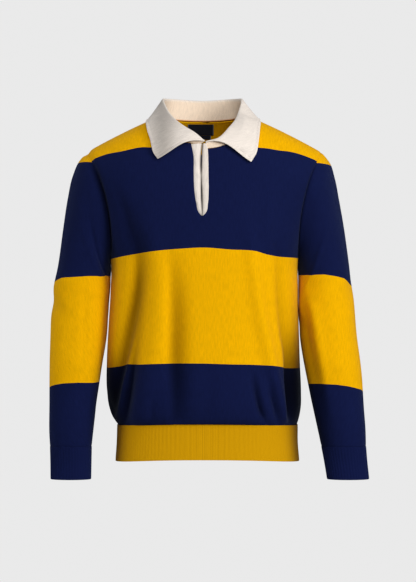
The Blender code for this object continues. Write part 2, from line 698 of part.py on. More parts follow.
def main():
    for item in list(bpy.data.objects):
        bpy.data.objects.remove(item)
    body = fabric("hooped_knit", (0.012, 0.019, 0.075), 0.85)
    gold = fabric("gold_rib", (0.72, 0.36, 0.01), 0.85)
    navy = fabric("navy_rib", (0.012, 0.019, 0.075), 0.85)
    cream = fabric("cream_knit", (0.80, 0.72, 0.62), 0.85)
    woven = fabric("woven_label", (0.01, 0.013, 0.03), 0.6)
    for face in ("front", "back"):
        halves = [half_panel(side, face) for side in ("left", "right")]
        cloth(face, halves, CLOTH_WALL, body)
    # The picture's left is the wearer's right.
    for side, wearer in (("left", "right"), ("right", "left")):
        cloth(f"sleeve_{wearer}", [sleeve(side)], CLOTH_WALL, body, closed=True)
        cloth(f"cuff_{wearer}", [cuff(side)], RIB_WALL, navy, closed=True)
        cloth(f"placket_{wearer}", [band(side)], BAND_WALL, cream)
    cloth("hem_rib", [hem()], RIB_WALL, gold, closed=True)
    collar = np.concatenate([half_collar("left"), half_collar("right")[:, -2::-1]], axis=1)
    cloth("collar", [collar], COLLAR_WALL, cream)
    for row, name in enumerate(LABEL_NAMES):
        cloth(name, [label(row)], LABEL_WALL, woven)


main()
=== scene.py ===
"""A rugby sweater in broad hoops of fine knit: the fine shape and the finish of every piece.

Metres, +Z up, front towards -Y, the wearer's right at -X. "left" and "right" are the picture's
sides; pieces are named by the wearer's. Every piece is a grid of points worked out from tables, to
the middle of its cloth, and the modifiers give it its wall.
"""

import bpy
import numpy as np
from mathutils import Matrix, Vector


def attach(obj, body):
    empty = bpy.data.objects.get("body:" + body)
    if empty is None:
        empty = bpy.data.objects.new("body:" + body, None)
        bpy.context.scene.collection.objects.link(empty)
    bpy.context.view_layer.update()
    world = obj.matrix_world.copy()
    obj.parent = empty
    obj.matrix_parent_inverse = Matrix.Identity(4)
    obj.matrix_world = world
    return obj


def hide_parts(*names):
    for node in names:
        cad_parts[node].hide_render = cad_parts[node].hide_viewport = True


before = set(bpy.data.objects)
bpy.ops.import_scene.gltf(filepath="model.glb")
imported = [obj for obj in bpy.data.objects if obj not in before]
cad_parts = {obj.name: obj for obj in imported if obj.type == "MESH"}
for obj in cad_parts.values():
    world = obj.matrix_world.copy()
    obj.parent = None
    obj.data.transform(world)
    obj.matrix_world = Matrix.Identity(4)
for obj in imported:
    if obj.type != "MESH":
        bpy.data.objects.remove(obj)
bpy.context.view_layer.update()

# ---------------------------------------------------------------------------------------------
# Sizes of the form, as it was cut and built

CLOTH_WALL = 0.0022
RIB_WALL = 0.0024
COLLAR_WALL = 0.0026
BAND_WALL = 0.0030
LABEL_WALL = 0.0008
SEAM_GAP = 0.0004  # between two pieces that are linked
CORNER_GAP = 0.0004  # where one piece butts on another's edge

SECTION_POWER = 2.4  # of the body's section: 2 is an ellipse, more is squarer
SECTION_DEPTH = 0.62  # the section's depth for its half width, as the stitches take it
CENTRE_X = -0.0032  # the line of the slit, a little to the picture's left
SHOULDER_ROLL = 0.100
SHOULDER_PEAK = 0.0120
SHOULDER_SLOPE = 0.43
SHOULDER_SAG = 0.45
SHOULDER_BLEND = 0.03
SHOULDER_TIP_X = 0.234
ARMPIT_Z = -0.285
ARMHOLE_POWER = 2.6
HEM_TOP_Z = -0.606
NECK_HALF = 0.084
NECK_POWER = 2.4
NECK_CENTRE_Z = {"left": -0.0535, "right": -0.0635, "back": 0.0025}
SLOPE_STEP = 0.0004  # to each side of a place whose slope is wanted
SECTION_SAMPLES = 400
NECK_SAMPLES = 2000
SIDE_SIGN = {"left": -1, "right": 1}
FACE_SIGN = {"front": -1, "back": 1}
WEARER = {"left": "right", "right": "left"}


def table(columns, *rows):
    """A short table: one array for each named column."""
    return dict(zip(columns.split(), np.array(rows, float).T))


def in_mm(columns, *rows):
    """A table whose columns are all lengths, given in millimetres."""
    return table(columns, *(np.array(rows, float) / 1000))


def crease(left, right, *path):
    """A crease of the body, in mm: how far it spreads to each side, and its path from below."""
    return in_mm("z x height", *path), (left / 1000, right / 1000)


# Half widths and depths of the body at each height. LIFT is how much higher than its sides the
# middle of a level runs; PLACKET holds the outer edges of the two bands and the slit between them.
BODY = in_mm(
    "height left right front back",
    (-606, 172, 186, 108, 104),
    (-592, 182, 190, 117, 112),
    (-572, 189.5, 193.5, 123, 117),
    (-540, 194, 194, 126, 119),
    (-480, 194, 191.5, 125, 116),
    (-400, 190, 189, 123, 113),
    (-340, 186.5, 188, 124, 115),
    (-285, 186, 188, 126, 120),
    (-240, 195, 196, 127, 123),
    (-180, 211, 212, 126, 124),
    (-120, 236, 236, 121, 119),
    (-60, 268, 268, 112, 107),
    (0, 290, 290, 104, 94),
    (60, 300, 300, 100, 88),
)
LIFT = in_mm(
    "height front back",
    (-700, 9.5, 0), (-606, 7, 0), (-492, 11, 3), (-285, 21, 10), (-200, 25, 14),
)
PLACKET = in_mm(
    "height left slit right",
    (-194.5, -3.2, -3.2, -3.2), (-188.5, -8.5, -3.3, 2.6), (-170, -13.8, -4, 7),
    (-145, -17.6, -4.8, 8.4), (-110, -19, -5.6, 8), (-78, -19.4, -5.2, 7.6),
    (-50, -25.2, -3, 5.8),
)
# Each sleeve's outer and inner places by the reach down its outer side, its depth and how far it
# hangs forward; the cuffs are given by height instead.
SLEEVES = {
    "left": in_mm(
        "reach outer outer_z inner inner_z depth forward",
        (0, 234, -62.5, 189, -285, 62, 0),
        (18, 249, -81.5, 189.2, -290, 62, 0),
        (45, 261.5, -110, 187.4, -297, 61.5, 0),
        (90, 272, -154, 186.8, -311, 61, 0),
        (150, 281, -212, 187.2, -333, 59.5, 0),
        (220, 290.5, -282, 189.8, -362, 58, 1),
        (290, 303, -352, 191.5, -397, 56.5, 3),
        (360, 306.5, -422, 195.5, -440, 53.5, 6),
        (430, 308, -492, 204.5, -495, 48, 10),
        (500, 308, -562, 213.5, -560, 41.5, 14),
        (560, 308, -622, 220.5, -620, 36.5, 17),
        (588, 306.5, -648, 223.5, -648, 31.5, 18),
    ),
    "right": in_mm(
        "reach outer outer_z inner inner_z depth forward",
        (0, 234, -62.5, 191, -285, 62, 0),
        (18, 250, -83, 190.4, -290, 62, 0),
        (45, 260, -112, 189.4, -297, 61.5, 0),
        (90, 269.5, -156, 188.6, -311, 61, 0),
        (150, 279.5, -212, 188.6, -333, 59.5, 0),
        (220, 289, -280, 188.8, -362, 58, 1),
        (290, 298.5, -350, 189.2, -397, 57, 3),
        (360, 304.5, -422, 192.5, -440, 54.5, 6),
        (430, 313, -492, 201.5, -495, 50, 10),
        (500, 318, -560, 214.5, -560, 43.5, 14),
        (560, 322, -622, 227.5, -620, 37, 17),
        (588, 322.5, -648, 233.5, -648, 32, 18),
    ),
}
CUFFS = {
    "left": in_mm(
        "height outer inner depth forward",
        (-714, 305, 224.5, 23.5, 22),
        (-680, 305.5, 224, 24.5, 20),
        (-648, 306.5, 223.5, 31.5, 18),
    ),
    "right": in_mm(
        "height outer inner depth forward",
        (-714, 328.5, 245, 23.5, 22),
        (-680, 325, 239.5, 24.5, 20),
        (-648, 322.5, 233.5, 32, 18),
    ),
}
HEM = in_mm(
    "height left right front back",
    (-678, 175.5, 189, 112, 108),
    (-640, 173, 186, 109, 105),
    (-606, 172, 186, 108, 104),
)
# By the station from the front end (0) round to the middle of the back (1): where the collar
# folds, and its free edge, whose height is that much below the shoulder line.
COLLAR = {
    "left": table(
        "station fold_x fold_y fold_z edge_x edge_below",
        (0, 0.001, -0.116, -0.049, -0.0896, 0.0915),
        (0.15, -0.018, -0.106, -0.032, -0.099, 0.0743),
        (0.3, -0.044, -0.086, -0.0145, -0.1045, 0.049),
        (0.45, -0.067, -0.048, 0.009, -0.111, 0.0269),
        (0.6, -0.0815, 0.002, 0.0425, -0.113, 0.0045),
        (0.7, -0.0755, 0.033, 0.0465, -0.101, 0.01),
        (0.8, -0.062, 0.058, 0.048, -0.083, 0.025),
        (1, -0.0032, 0.08, 0.0465, -0.0032, 0.059),
        (1.2, 0.0556, 0.058, 0.048, 0.0766, 0.025),
    ),
    "right": table(
        "station fold_x fold_y fold_z edge_x edge_below",
        (0, 0.004, -0.116, -0.05, 0.0919, 0.096),
        (0.15, 0.029, -0.107, -0.042, 0.1025, 0.0742),
        (0.3, 0.048, -0.086, -0.022, 0.1065, 0.0494),
        (0.45, 0.065, -0.048, 0.003, 0.109, 0.0293),
        (0.6, 0.0755, 0.002, 0.042, 0.11, 0.004),
        (0.7, 0.069, 0.033, 0.0464, 0.0985, 0.007),
        (0.8, 0.0556, 0.058, 0.048, 0.0766, 0.025),
        (1, -0.0032, 0.08, 0.0465, -0.0032, 0.059),
        (1.2, -0.062, 0.058, 0.048, -0.083, 0.025),
    ),
}

# The hoops' edges across each face: where the shoulders' yellow, the chest's navy and the waist's
# yellow end.
HOOPS = {
    "front": in_mm(
        "across chest waist seat",
        (-240, -85, -278.5, -492.5), (-210, -77, -277.5, -492.2), (-190, -71.2, -277, -492),
        (-160, -66.6, -272.2, -484.2), (-125, -60, -266.2, -483.3), (-85, -59.7, -261.1, -481.3),
        (-40, -40, -257.6, -480.5), (0, -40, -255.8, -480.6), (50, -43, -259.5, -482.2),
        (100, -60, -262.6, -483.6), (125, -62.2, -269.2, -485.2), (145, -65.2, -272.7, -488),
        (170, -67.5, -274.1, -491.2), (190, -72, -274.8, -493), (210, -78.5, -275, -492.5),
        (240, -89.5, -275.5, -492.5),
    ),
    "back": in_mm(
        "across chest waist seat",
        (-240, -90, -278.5, -492.5), (-190, -74, -277, -492), (-120, -64, -271.5, -489.5),
        (0, -60, -268, -488), (120, -64, -270.5, -490), (190, -74, -274.8, -493),
        (240, -89.5, -275.5, -492.5),
    ),
}
HOOP_NAMES = ("chest", "waist", "seat")
# The same round each sleeve, by the angle from its outer side (90 is the front).
SLEEVE_HOOPS = {
    "left": table(
        "angle cap upper lower",
        (0, -0.086, -0.3265, -0.534), (28, -0.0845, -0.3198, -0.5282),
        (45, -0.0828, -0.315, -0.5254), (66, -0.0815, -0.3135, -0.5223),
        (100, -0.0812, -0.3106, -0.5206), (140, -0.0846, -0.3103, -0.5216),
        (180, -0.0846, -0.3101, -0.52), (240, -0.0846, -0.3115, -0.5215),
        (300, -0.0848, -0.315, -0.525), (360, -0.086, -0.3265, -0.534),
    ),
    "right": table(
        "angle cap upper lower",
        (0, -0.0915, -0.332, -0.5415), (22, -0.089, -0.3258, -0.5365),
        (45, -0.0862, -0.3152, -0.532), (66, -0.0848, -0.311, -0.5278),
        (90, -0.084, -0.3075, -0.5245), (120, -0.084, -0.308, -0.523),
        (180, -0.085, -0.3088, -0.5248), (240, -0.085, -0.3085, -0.524),
        (300, -0.0865, -0.315, -0.53), (360, -0.0915, -0.332, -0.5415),
    ),
}


def smooth(at, knots, values):
    """Cubic curve through a table's column, with each row's slope taken from its neighbours."""
    slopes = np.gradient(values, knots)
    at = np.clip(at, knots[0], knots[-1])
    low = np.clip(np.searchsorted(knots, at) - 1, 0, len(knots) - 2)
    step = knots[low + 1] - knots[low]
    share = (at - knots[low]) / step
    rest = 1 - share
    return (
        values[low] * (1 + 2 * share) * rest**2
        + values[low + 1] * share**2 * (3 - 2 * share)
        + step * share * rest * (slopes[low] * rest - slopes[low + 1] * share)
    )


def row_at(rows, key, place):
    """Every column of a table at a place along one of them."""
    return {name: smooth(place, rows[key], column) for name, column in rows.items()}


def unit(vectors):
    """The same directions with length 1."""
    return vectors / np.maximum(np.linalg.norm(vectors, axis=-1, keepdims=True), 1e-12)


def bell(distance, reach):
    """1 at no distance, falling off smoothly over the reach."""
    return np.exp(-((distance / reach) ** 2))


def lengths(points, axis):
    """Length along each line of a grid from its start, along rows (0) or columns (1)."""
    steps = np.linalg.norm(np.diff(points, axis=axis), axis=2)
    start = np.zeros_like(np.take(steps, [0], axis=axis))
    return np.cumsum(np.concatenate([start, steps], axis=axis), axis=axis)


def lengths_back(points, axis):
    """The same from each line's end."""
    return np.flip(lengths(np.flip(points, axis), axis), axis)


def normals(points, middle):
    """Unit normals of a grid, turned away from a middle line or point."""
    found = unit(np.cross(np.gradient(points, axis=0), np.gradient(points, axis=1)))
    away = np.sum(found * (points - middle), axis=2, keepdims=True)
    return found * np.sign(np.median(away))


# ---------------------------------------------------------------------------------------------
# The body


def shoulder_line(x):
    """Height of the shoulder seam: a slope with a little sag, rounded over the neck."""
    out = np.hypot(x, SHOULDER_BLEND) - NECK_HALF
    return SHOULDER_PEAK - SHOULDER_SLOPE * out - SHOULDER_SAG * out**2


def half_width(x, z):
    """Half width of the body's section at a height, to the middle of its wall."""
    knots = BODY["height"]
    outside = np.where(x < 0, smooth(z, knots, BODY["left"]), smooth(z, knots, BODY["right"]))
    return outside - CLOTH_WALL / 2


def body_depth(x, z, face):
    """Distance of a panel from the plane of the side seams, at a place in the front view.

    Across, a superellipse of the level's half width and depth. Under the shoulder line, a quarter
    circle brings it to nothing.
    """
    depth = smooth(z, BODY["height"], BODY[face])
    closing = np.clip(1 - (np.abs(x) / half_width(x, z)) ** SECTION_POWER, 0, 1)
    below = np.clip((shoulder_line(x) - z) / SHOULDER_ROLL, 0, 1)
    return depth * closing ** (1 / SECTION_POWER) * np.sqrt(1 - (1 - below) ** 2)


def body_normal(x, z, face):
    """Direction straight out of a panel, from the slope of its depth across and up."""
    across = body_depth(x + SLOPE_STEP, z, face) - body_depth(x - SLOPE_STEP, z, face)
    up = body_depth(x, z + SLOPE_STEP, face) - body_depth(x, z - SLOPE_STEP, face)
    facing = np.full_like(x, FACE_SIGN[face] * 2 * SLOPE_STEP)
    return unit(np.stack([-across, facing, -up], -1))


def armpit_x(side):
    """Distance of the armpit from the middle: the side seam meets the armhole there."""
    return float(half_width(SIDE_SIGN[side], ARMPIT_Z))


def armhole_x(z, armpit):
    """Distance of the armhole seam from the middle, from the armpit out to the shoulder tip."""
    tip_z = shoulder_line(SHOULDER_TIP_X)
    rise = np.clip((z - ARMPIT_Z) / (tip_z - ARMPIT_Z), 0, 1)
    return armpit + (SHOULDER_TIP_X - armpit) * rise**ARMHOLE_POWER


def armhole_z(angle):
    """Height of the armhole seam at an angle round it, from the tip (0) to the armpit (pi)."""
    tip_z = shoulder_line(SHOULDER_TIP_X)
    return (tip_z + ARMPIT_Z) / 2 + (tip_z - ARMPIT_Z) / 2 * np.cos(angle)


def neck_top(side):
    """Front view of the neck seam's side: the place where it crosses the shoulder seam."""
    x = CENTRE_X + SIDE_SIGN[side] * NECK_HALF
    return x, shoulder_line(x)


def neck_drop(side, face):
    """How far the neck seam falls from its side to the centre line."""
    return neck_top(side)[1] - NECK_CENTRE_Z["back" if face == "back" else side]


def neckline(side, face, angle):
    """Front view of the neck seam: a superellipse from the shoulder (0) to the centre (90 deg)."""
    x = CENTRE_X + SIDE_SIGN[side] * NECK_HALF * np.cos(angle) ** (2 / NECK_POWER)
    return x, neck_top(side)[1] - neck_drop(side, face) * np.sin(angle) ** (2 / NECK_POWER)


def slot_x(side, z):
    """Front-view edge of the neck opening's slot, which clears its bands by a seam."""
    return smooth(z, PLACKET["height"], PLACKET[side]) + SIDE_SIGN[side] * SEAM_GAP


def neck_start(side):
    """Angle on the neck seam where the slot's edge meets it."""
    angles = np.linspace(0, np.pi / 2, NECK_SAMPLES)
    x, z = neckline(side, "front", angles)
    return angles[np.argmin(np.abs(x - slot_x(side, z)))]


# Rows of a half panel, in stretches: hem to armpit, armpit to the slot's foot, slot, neck seam.
STRETCHES = {"low": 84, "open": 22, "slot": 40, "neck": 44}
ARM_ROWS = STRETCHES["open"] + STRETCHES["slot"] + STRETCHES["neck"]
COLUMNS = 66
SLOT_FOOT_GAP = 0.0012
SLOT_FOOT_Z = PLACKET["height"][0] - SLOT_FOOT_GAP
NECK_SPACING = 1.7  # more than 1 puts more rows near the shoulder seam
SHOULDER_GAP = 0.0008

# Creases of the body, seen from the front. Each spreads so far to the picture's left and right of
# a path of z, x and height, from its low end to its high one.
BODY_CREASES = {
    "front": (
        # the long trough down the picture's left, the wall beside it and the roll past that
        crease(
            11, 23, (-600, -184, -6), (-553, -180, -12), (-484, -167, -16), (-441, -158.5, -17),
            (-393, -147.5, -17), (-328, -135, -14), (-260, -132, -8), (-205, -143, -3),
            (-160, -150, 0),
        ),
        crease(
            21, 18, (-602, -124, 3), (-523, -106, 6), (-416, -87, 7), (-357, -85, 6),
            (-289, -88, 4), (-220, -101, 2), (-170, -110, 0),
        ),
        crease(
            6, 6, (-602, -176, 3), (-553, -166.5, 5), (-514, -159, 5), (-470, -149.5, 1),
            (-430, -140, 0), (-350, -128, 0),
        ),
        crease(
            6, 14, (-602, -158, -6), (-553, -152.5, -11), (-514, -146, -10), (-465, -137, -5),
            (-416, -127, -2), (-350, -118, 0),
        ),
        # the shallow trough left of the middle
        crease(
            11, 24, (-600, -57, -4), (-556, -57, -8), (-480, -60, -11), (-426, -60, -11),
            (-357, -61, -8), (-290, -64, -3), (-250, -67, 0),
        ),
        # the ridge down the picture's right, and the deep trough towards the side
        crease(
            14, 12, (-604, 162, 3), (-572, 152.3, 7), (-533, 142.6, 9), (-480, 130.9, 10),
            (-436, 121.1, 10), (-393, 111.4, 9), (-328, 101.6, 7), (-250, 92, 4), (-190, 88, 0),
        ),
        crease(
            8, 13, (-604, 170, -6), (-572, 170, -14), (-523, 168, -16), (-465, 164, -10),
            (-416, 155, -7), (-357, 148, -5), (-289, 145, -3), (-220, 140, 0),
        ),
        # short gathers over the hem rib
        crease(
            6, 6, (-604, 123, -2), (-576, 112, -9), (-543, 104, -8), (-490, 94, 0),
        ),
        crease(
            6, 6, (-604, 147, -2), (-576, 142, -9), (-543, 133, -8), (-500, 123, 0),
        ),
        crease(
            7, 7, (-604, -102, -1), (-580, -101, -2), (-540, -98, 0),
        ),
        crease(
            12, 12, (-604, 12, -0.5), (-560, 14, -1.2), (-470, 18, 0),
        ),
        # soft draws across the chest, towards the armholes
        crease(
            11, 9, (-290, -150, 0), (-240, -148, -3), (-190, -154, -3), (-130, -170, 0),
        ),
        crease(
            10, 10, (-270, 126, 0), (-225, 124, 2.5), (-180, 127, 2), (-130, 135, 0),
        ),
    ),
    "back": (
        crease(
            14, 18, (-600, -170, -4), (-540, -160, -9), (-430, -140, -10), (-320, -126, -8),
            (-240, -124, -5), (-170, -134, 0),
        ),
        crease(
            18, 18, (-602, -92, 3), (-540, -84, 5), (-430, -70, 6), (-330, -63, 3),
            (-270, -60, 0),
        ),
        crease(
            20, 17, (-600, 40, -2), (-520, 44, -5), (-400, 50, -6), (-300, 56, -3), (-240, 58, 0),
        ),
        crease(
            15, 13, (-604, 118, 3), (-540, 108, 6), (-440, 98, 5), (-330, 98, 3), (-250, 104, 0),
        ),
        crease(
            16, 13, (-602, 164, -4), (-540, 156, -10), (-430, 136, -10), (-320, 124, -8),
            (-230, 124, -4), (-170, 132, 0),
        ),
        crease(
            7, 7, (-604, -128, -2), (-570, -122, -4), (-500, -112, 0),
        ),
        crease(
            9, 9, (-604, 12, -1), (-560, 8, -3), (-480, 2, 0),
        ),
    ),
}
SEAM_DIP = 0.0009  # how deep a seam sits between its two pieces
SEAM_REACH = 0.0030
SIDE_SEAM_SHARE = 0.3  # of that depth, in the side and underarm seams
SEAM_BLEND = 0.03  # height over which a seam's depth and shade change
# The armhole seams are pulled in by the sleeves' weight, more at the picture's left, and they are
# in shade up to the yellow over the shoulders.
ARMHOLE_DIP = {"left": 0.0046, "right": 0.0014}
ARMHOLE_REACH = {"left": 0.0080, "right": 0.0035}
ARMHOLE_SHADE = {"left": 0.50, "right": 0.30}
ARMHOLE_SHADE_TOP = -0.082
# Painted shade: how much darker the cloth is at its sides, where the sleeves keep light off, by
# height, and how far in from them that reaches.
SIDE_SHADE = table(
    "height left right reach",
    (-0.7, 0.45, 0.7, 0.016), (-0.62, 0.5, 0.75, 0.018), (-0.55, 0.7, 0.92, 0.028),
    (-0.5, 0.55, 0.92, 0.026), (-0.45, 0.2, 0.75, 0.022), (-0.4, 0, 0.38, 0.018),
    (-0.33, 0, 0.05, 0.016), (-0.25, 0, 0, 0.016),
)
CREASE_SHADE = 0.55  # painted shade: how much darker the deepest troughs are
TROUGH_DEPTH = 0.014  # of a trough that is as dark as that
CREASE_MARGIN = 0.022  # creases die away this near to a seam
HEM_HOLD = 0.35  # the share of their height that is left near the hem's seam
HEM_CATCH = 0.005  # the rib holds the last of them flat


def inner_edge(side, face):
    """Front view of a half panel's inner side: centre line, slot, then neck seam."""
    low_z = np.linspace(HEM_TOP_Z, ARMPIT_Z, STRETCHES["low"] + 1)
    low_z = low_z + smooth(low_z, LIFT["height"], LIFT[face])
    first = neck_start(side) if face == "front" else np.pi / 2
    fall = np.linspace(1, 0, STRETCHES["neck"] + 1) ** NECK_SPACING
    neck_x, neck_z = neckline(side, face, first * fall)
    if face == "back":
        mid_z = np.linspace(low_z[-1], neck_z[0], STRETCHES["open"] + STRETCHES["slot"] + 1)[1:-1]
        mid_x = np.full_like(mid_z, CENTRE_X)
    else:
        open_z = np.linspace(low_z[-1], SLOT_FOOT_Z, STRETCHES["open"] + 1)[1:]
        slot_z = np.linspace(SLOT_FOOT_Z, neck_z[0], STRETCHES["slot"] + 1)[1:-1]
        mid_z = np.append(open_z, slot_z)
        mid_x = np.append(np.full_like(open_z, CENTRE_X), slot_x(side, slot_z))
    x = np.concatenate([np.full_like(low_z, CENTRE_X), mid_x, neck_x])
    return x, np.concatenate([low_z, mid_z, neck_z])


def outer_edge(side):
    """Front view of a half panel's side: the side seam, then the armhole seam."""
    low_z = np.linspace(HEM_TOP_Z, ARMPIT_Z, STRETCHES["low"] + 1)
    arm_z = armhole_z(np.linspace(np.pi, 0, ARM_ROWS + 1))[1:]
    low_x = half_width(SIDE_SIGN[side], low_z)
    arm_x = armhole_x(arm_z, armpit_x(side))
    return SIDE_SIGN[side] * np.append(low_x, arm_x), np.append(low_z, arm_z)


def body_creases(x, z, face):
    """Height of the creases at a place in the front view: the sum of the paths' bell profiles."""
    total = np.zeros_like(x)
    for path, (left, right) in BODY_CREASES[face]:
        off = x - smooth(z, path["z"], path["x"])
        height = smooth(z, path["z"], path["height"])
        total += height * bell(off, np.where(off < 0, left, right))
    return total


def side_shade(x, z, side_x):
    """Painted shade: how much darker the cloth is towards the sides, under the sleeves."""
    at = row_at(SIDE_SHADE, "height", z)
    amount = np.where(x < 0, at["left"], at["right"])
    return 1 - np.clip(amount, 0, 1) * bell(side_x - np.abs(x), at["reach"])


def hoop_level(z, edges):
    """Counts the hoops down a piece: 0, -1 and -2 at its edges in turn, even within each hoop."""
    first, second, third = edges
    above = (z - first) / (first - second)
    within = (z - second) / (first - second) - 1
    below = (z - third) / (second - third) - 2
    return np.where(z > first, above, np.where(z > second, within, below))


def stitch_across(x, z):
    """Distance round the body's section from its centre line, for the stitches."""
    half = half_width(x, z)
    turn = np.linspace(0, np.pi / 2, SECTION_SAMPLES)
    across = np.sin(turn) ** (2 / SECTION_POWER)
    deep = SECTION_DEPTH * np.cos(turn) ** (2 / SECTION_POWER)
    run = np.append(0, np.cumsum(np.hypot(np.diff(across), np.diff(deep))))
    return np.sign(x) * half * np.interp(np.abs(x) / half, across, run)


def stitch_up(x, z):
    """Height along the cloth for the stitches: the roll over the shoulder is laid out flat."""
    below = np.clip((shoulder_line(x) - z) / SHOULDER_ROLL, 0, 1)
    turn = np.arccos(1 - below)
    return z + SHOULDER_ROLL * (np.pi / 2 - turn - np.cos(turn))


def side_seam(side, z, distance):
    """How far a piece's edge dips at its side or armhole seam, and its shade there.

    Both fall off as a bell over the distance from the seam. Above the armpit the dip grows to the
    armhole's, and the shade sets in up to the yellow over the shoulder.
    """
    over = np.clip((z - ARMPIT_Z) / SEAM_BLEND, 0, 1)
    under_yellow = np.clip((ARMHOLE_SHADE_TOP - z) / SEAM_BLEND, 0, 1)
    dip = SEAM_DIP + (ARMHOLE_DIP[side] - SEAM_DIP) * over
    near = bell(distance, SEAM_REACH + (ARMHOLE_REACH[side] - SEAM_REACH) * over)
    dip = dip * (SIDE_SEAM_SHARE + (1 - SIDE_SEAM_SHARE) * over) * near
    return dip, 1 - ARMHOLE_SHADE[side] * over * under_yellow * near


def half_panel(side, face):
    """Half a panel as a grid of points, hem to shoulder and centre to side.

    Each row runs in the front view from the inner edge to the outer one, spaced so that it stays
    even where the section turns round the side; the body's section then gives its depth. The
    upper rows bend to follow the shoulder line. Creases stand along the normals, and the edges
    that are sewn dip inward.
    """
    inner_x, inner_z = (edge[:, None] for edge in inner_edge(side, face))
    outer_x, outer_z = (edge[:, None] for edge in outer_edge(side))
    share = np.linspace(0, 1, COLUMNS + 1)[None, :]
    reach = (np.abs(outer_x) / half_width(outer_x, outer_z)) ** (SECTION_POWER / 2)
    turn = np.arcsin(np.clip(reach, 0, 1))
    out = (np.sin(share * turn) / np.sin(turn)) ** (2 / SECTION_POWER)
    x = inner_x + (outer_x - inner_x) * out
    rows = np.arange(len(inner_x))[:, None]
    bend = np.clip((rows - STRETCHES["low"]) / ARM_ROWS, 0, 1)
    straight = shoulder_line(inner_x) + (shoulder_line(outer_x) - shoulder_line(inner_x)) * out
    z = inner_z + (outer_z - inner_z) * out ** (2 - bend) + bend * (shoulder_line(x) - straight)
    depth = np.maximum(body_depth(x, z, face), SHOULDER_GAP / 2)
    plain = np.stack([x, FACE_SIGN[face] * depth, z], 2)
    from_hem = lengths(plain, 0)
    from_top = lengths_back(plain, 0)
    from_side = lengths_back(plain, 1)
    near = np.minimum(from_side, from_top)
    fade = np.clip(near / CREASE_MARGIN, 0, 1) * np.clip(from_hem / CREASE_MARGIN + HEM_HOLD, 0, 1)
    fade = fade * np.clip(from_hem / HEM_CATCH, 0, 1)
    side_dip, seam_shade = side_seam(side, z, from_side)
    dips = SEAM_DIP * (bell(from_top, SEAM_REACH) + bell(from_hem, SEAM_REACH)) + side_dip
    outward = normals(plain, (0, 0, -0.3))
    outward[:, 0] *= (0, 1, 1)  # the two halves meet on the centre line
    creases = body_creases(x, z, face) * fade
    points = plain + outward * (creases - dips)[..., None]
    edges = [smooth(x, HOOPS[face]["across"], HOOPS[face][name]) for name in HOOP_NAMES]
    # painted shade: darker towards the sides, in the deepest troughs and along the armhole seams
    trough = np.clip(-creases / TROUGH_DEPTH, 0, 1)
    return {
        "points": points,
        "uv": np.stack([stitch_across(x, z), stitch_up(x, z)], 2),
        "hoop": hoop_level(z, edges),
        "shade": side_shade(x, z, half_width(x, z)) * (1 - CREASE_SHADE * trough) * seam_shade,
    }


# ---------------------------------------------------------------------------------------------
# Sleeves, cuffs and hem

SLEEVE_ROWS = 150
SLEEVE_COLUMNS = 112
SLEEVE_SPACING = 1.25  # more than 1 puts more rows near the shoulder
ARMHOLE_FADE = 0.11  # reach over which the armhole's shape gives way to the sleeve's own
ARMHOLE_INSET = 0.002  # inside the seam, where the direction straight out is taken
# Creases round the arm: where, by reach and angle from the outer side (90 degrees is the front),
# how long and wide, how far it climbs per turn, how high.
ROUND_CREASES = {
    "left": table(
        "reach angle spread width climb height",
        (0.3, 15, 60, 0.022, 0.02, -0.0045),
        (0.245, 60, 60, 0.022, -0.03, 0.003),
        (0.085, 110, 45, 0.012, 0.055, -0.0045),
        (0.12, 100, 45, 0.016, 0.055, 0.002),
        (0.33, 270, 60, 0.024, 0.03, -0.0045),
        (0.42, 90, 50, 0.026, 0.02, 0.002),
        (0.48, 250, 60, 0.02, -0.02, -0.003),
    ),
    "right": table(
        "reach angle spread width climb height",
        (0.28, 40, 50, 0.024, 0.03, -0.0025),
        (0.14, 105, 40, 0.02, 0.07, 0.0025),
        (0.34, 260, 60, 0.024, 0.02, -0.0045),
        (0.43, 70, 50, 0.026, -0.02, 0.002),
        (0.49, 280, 60, 0.02, 0.02, -0.003),
    ),
}
# Creases down the arm: a path of reach and angle with heights, and how wide it is.
LONG_CREASES = {
    "left": (
        (
            table(
                "reach angle height",
                (0.1, 150, 0), (0.2, 146, 0.003), (0.3, 142, 0.0015), (0.38, 140, 0),
            ),
            0.014,
        ),
        (
            table(
                "reach angle height",
                (0.2, 96, 0), (0.28, 102, -0.0022), (0.36, 106, -0.0018), (0.42, 106, 0),
            ),
            0.008,
        ),
    ),
    "right": (
        (
            table(
                "reach angle height",
                (0.12, 142, 0), (0.22, 132, 0.0035), (0.29, 120, 0.0055), (0.38, 114, 0.005),
                (0.47, 112, 0.003), (0.56, 110, 0),
            ),
            0.011,
        ),
        (
            table(
                "reach angle height",
                (0.24, 156, 0), (0.31, 148, -0.005), (0.4, 142, -0.005), (0.48, 140, -0.003),
                (0.56, 140, 0),
            ),
            0.016,
        ),
        (
            table(
                "reach angle height",
                (0.1, 156, 0), (0.18, 152, 0.005), (0.27, 152, 0.005), (0.33, 150, 0),
            ),
            0.014,
        ),
    ),
}
ARM_RADIUS = 0.055
# Painted shade: how much darker a sleeve's inner side is, next to the body. It grows from this
# cosine of the angle to the inside, and from this reach on over a run.
SLEEVE_SHADE = {"left": 0.0, "right": 0.25}
SLEEVE_SHADE_COSINE = 0.3
SLEEVE_SHADE_REACH = 0.10
SLEEVE_SHADE_RUN = 0.15
HEM_RIBS = 174  # round the hem, one for each 5.5 mm
CUFF_RIBS = 44
RIB_POINTS = 6  # round each rib
RIB_HEIGHT = 0.00022
RIB_ROWS = 26
RIB_EDGE = 0.0045  # ribs flatten this near to a cast-off edge
RIB_EVENING = 0.22  # spaces the ribs evenly round the flat section


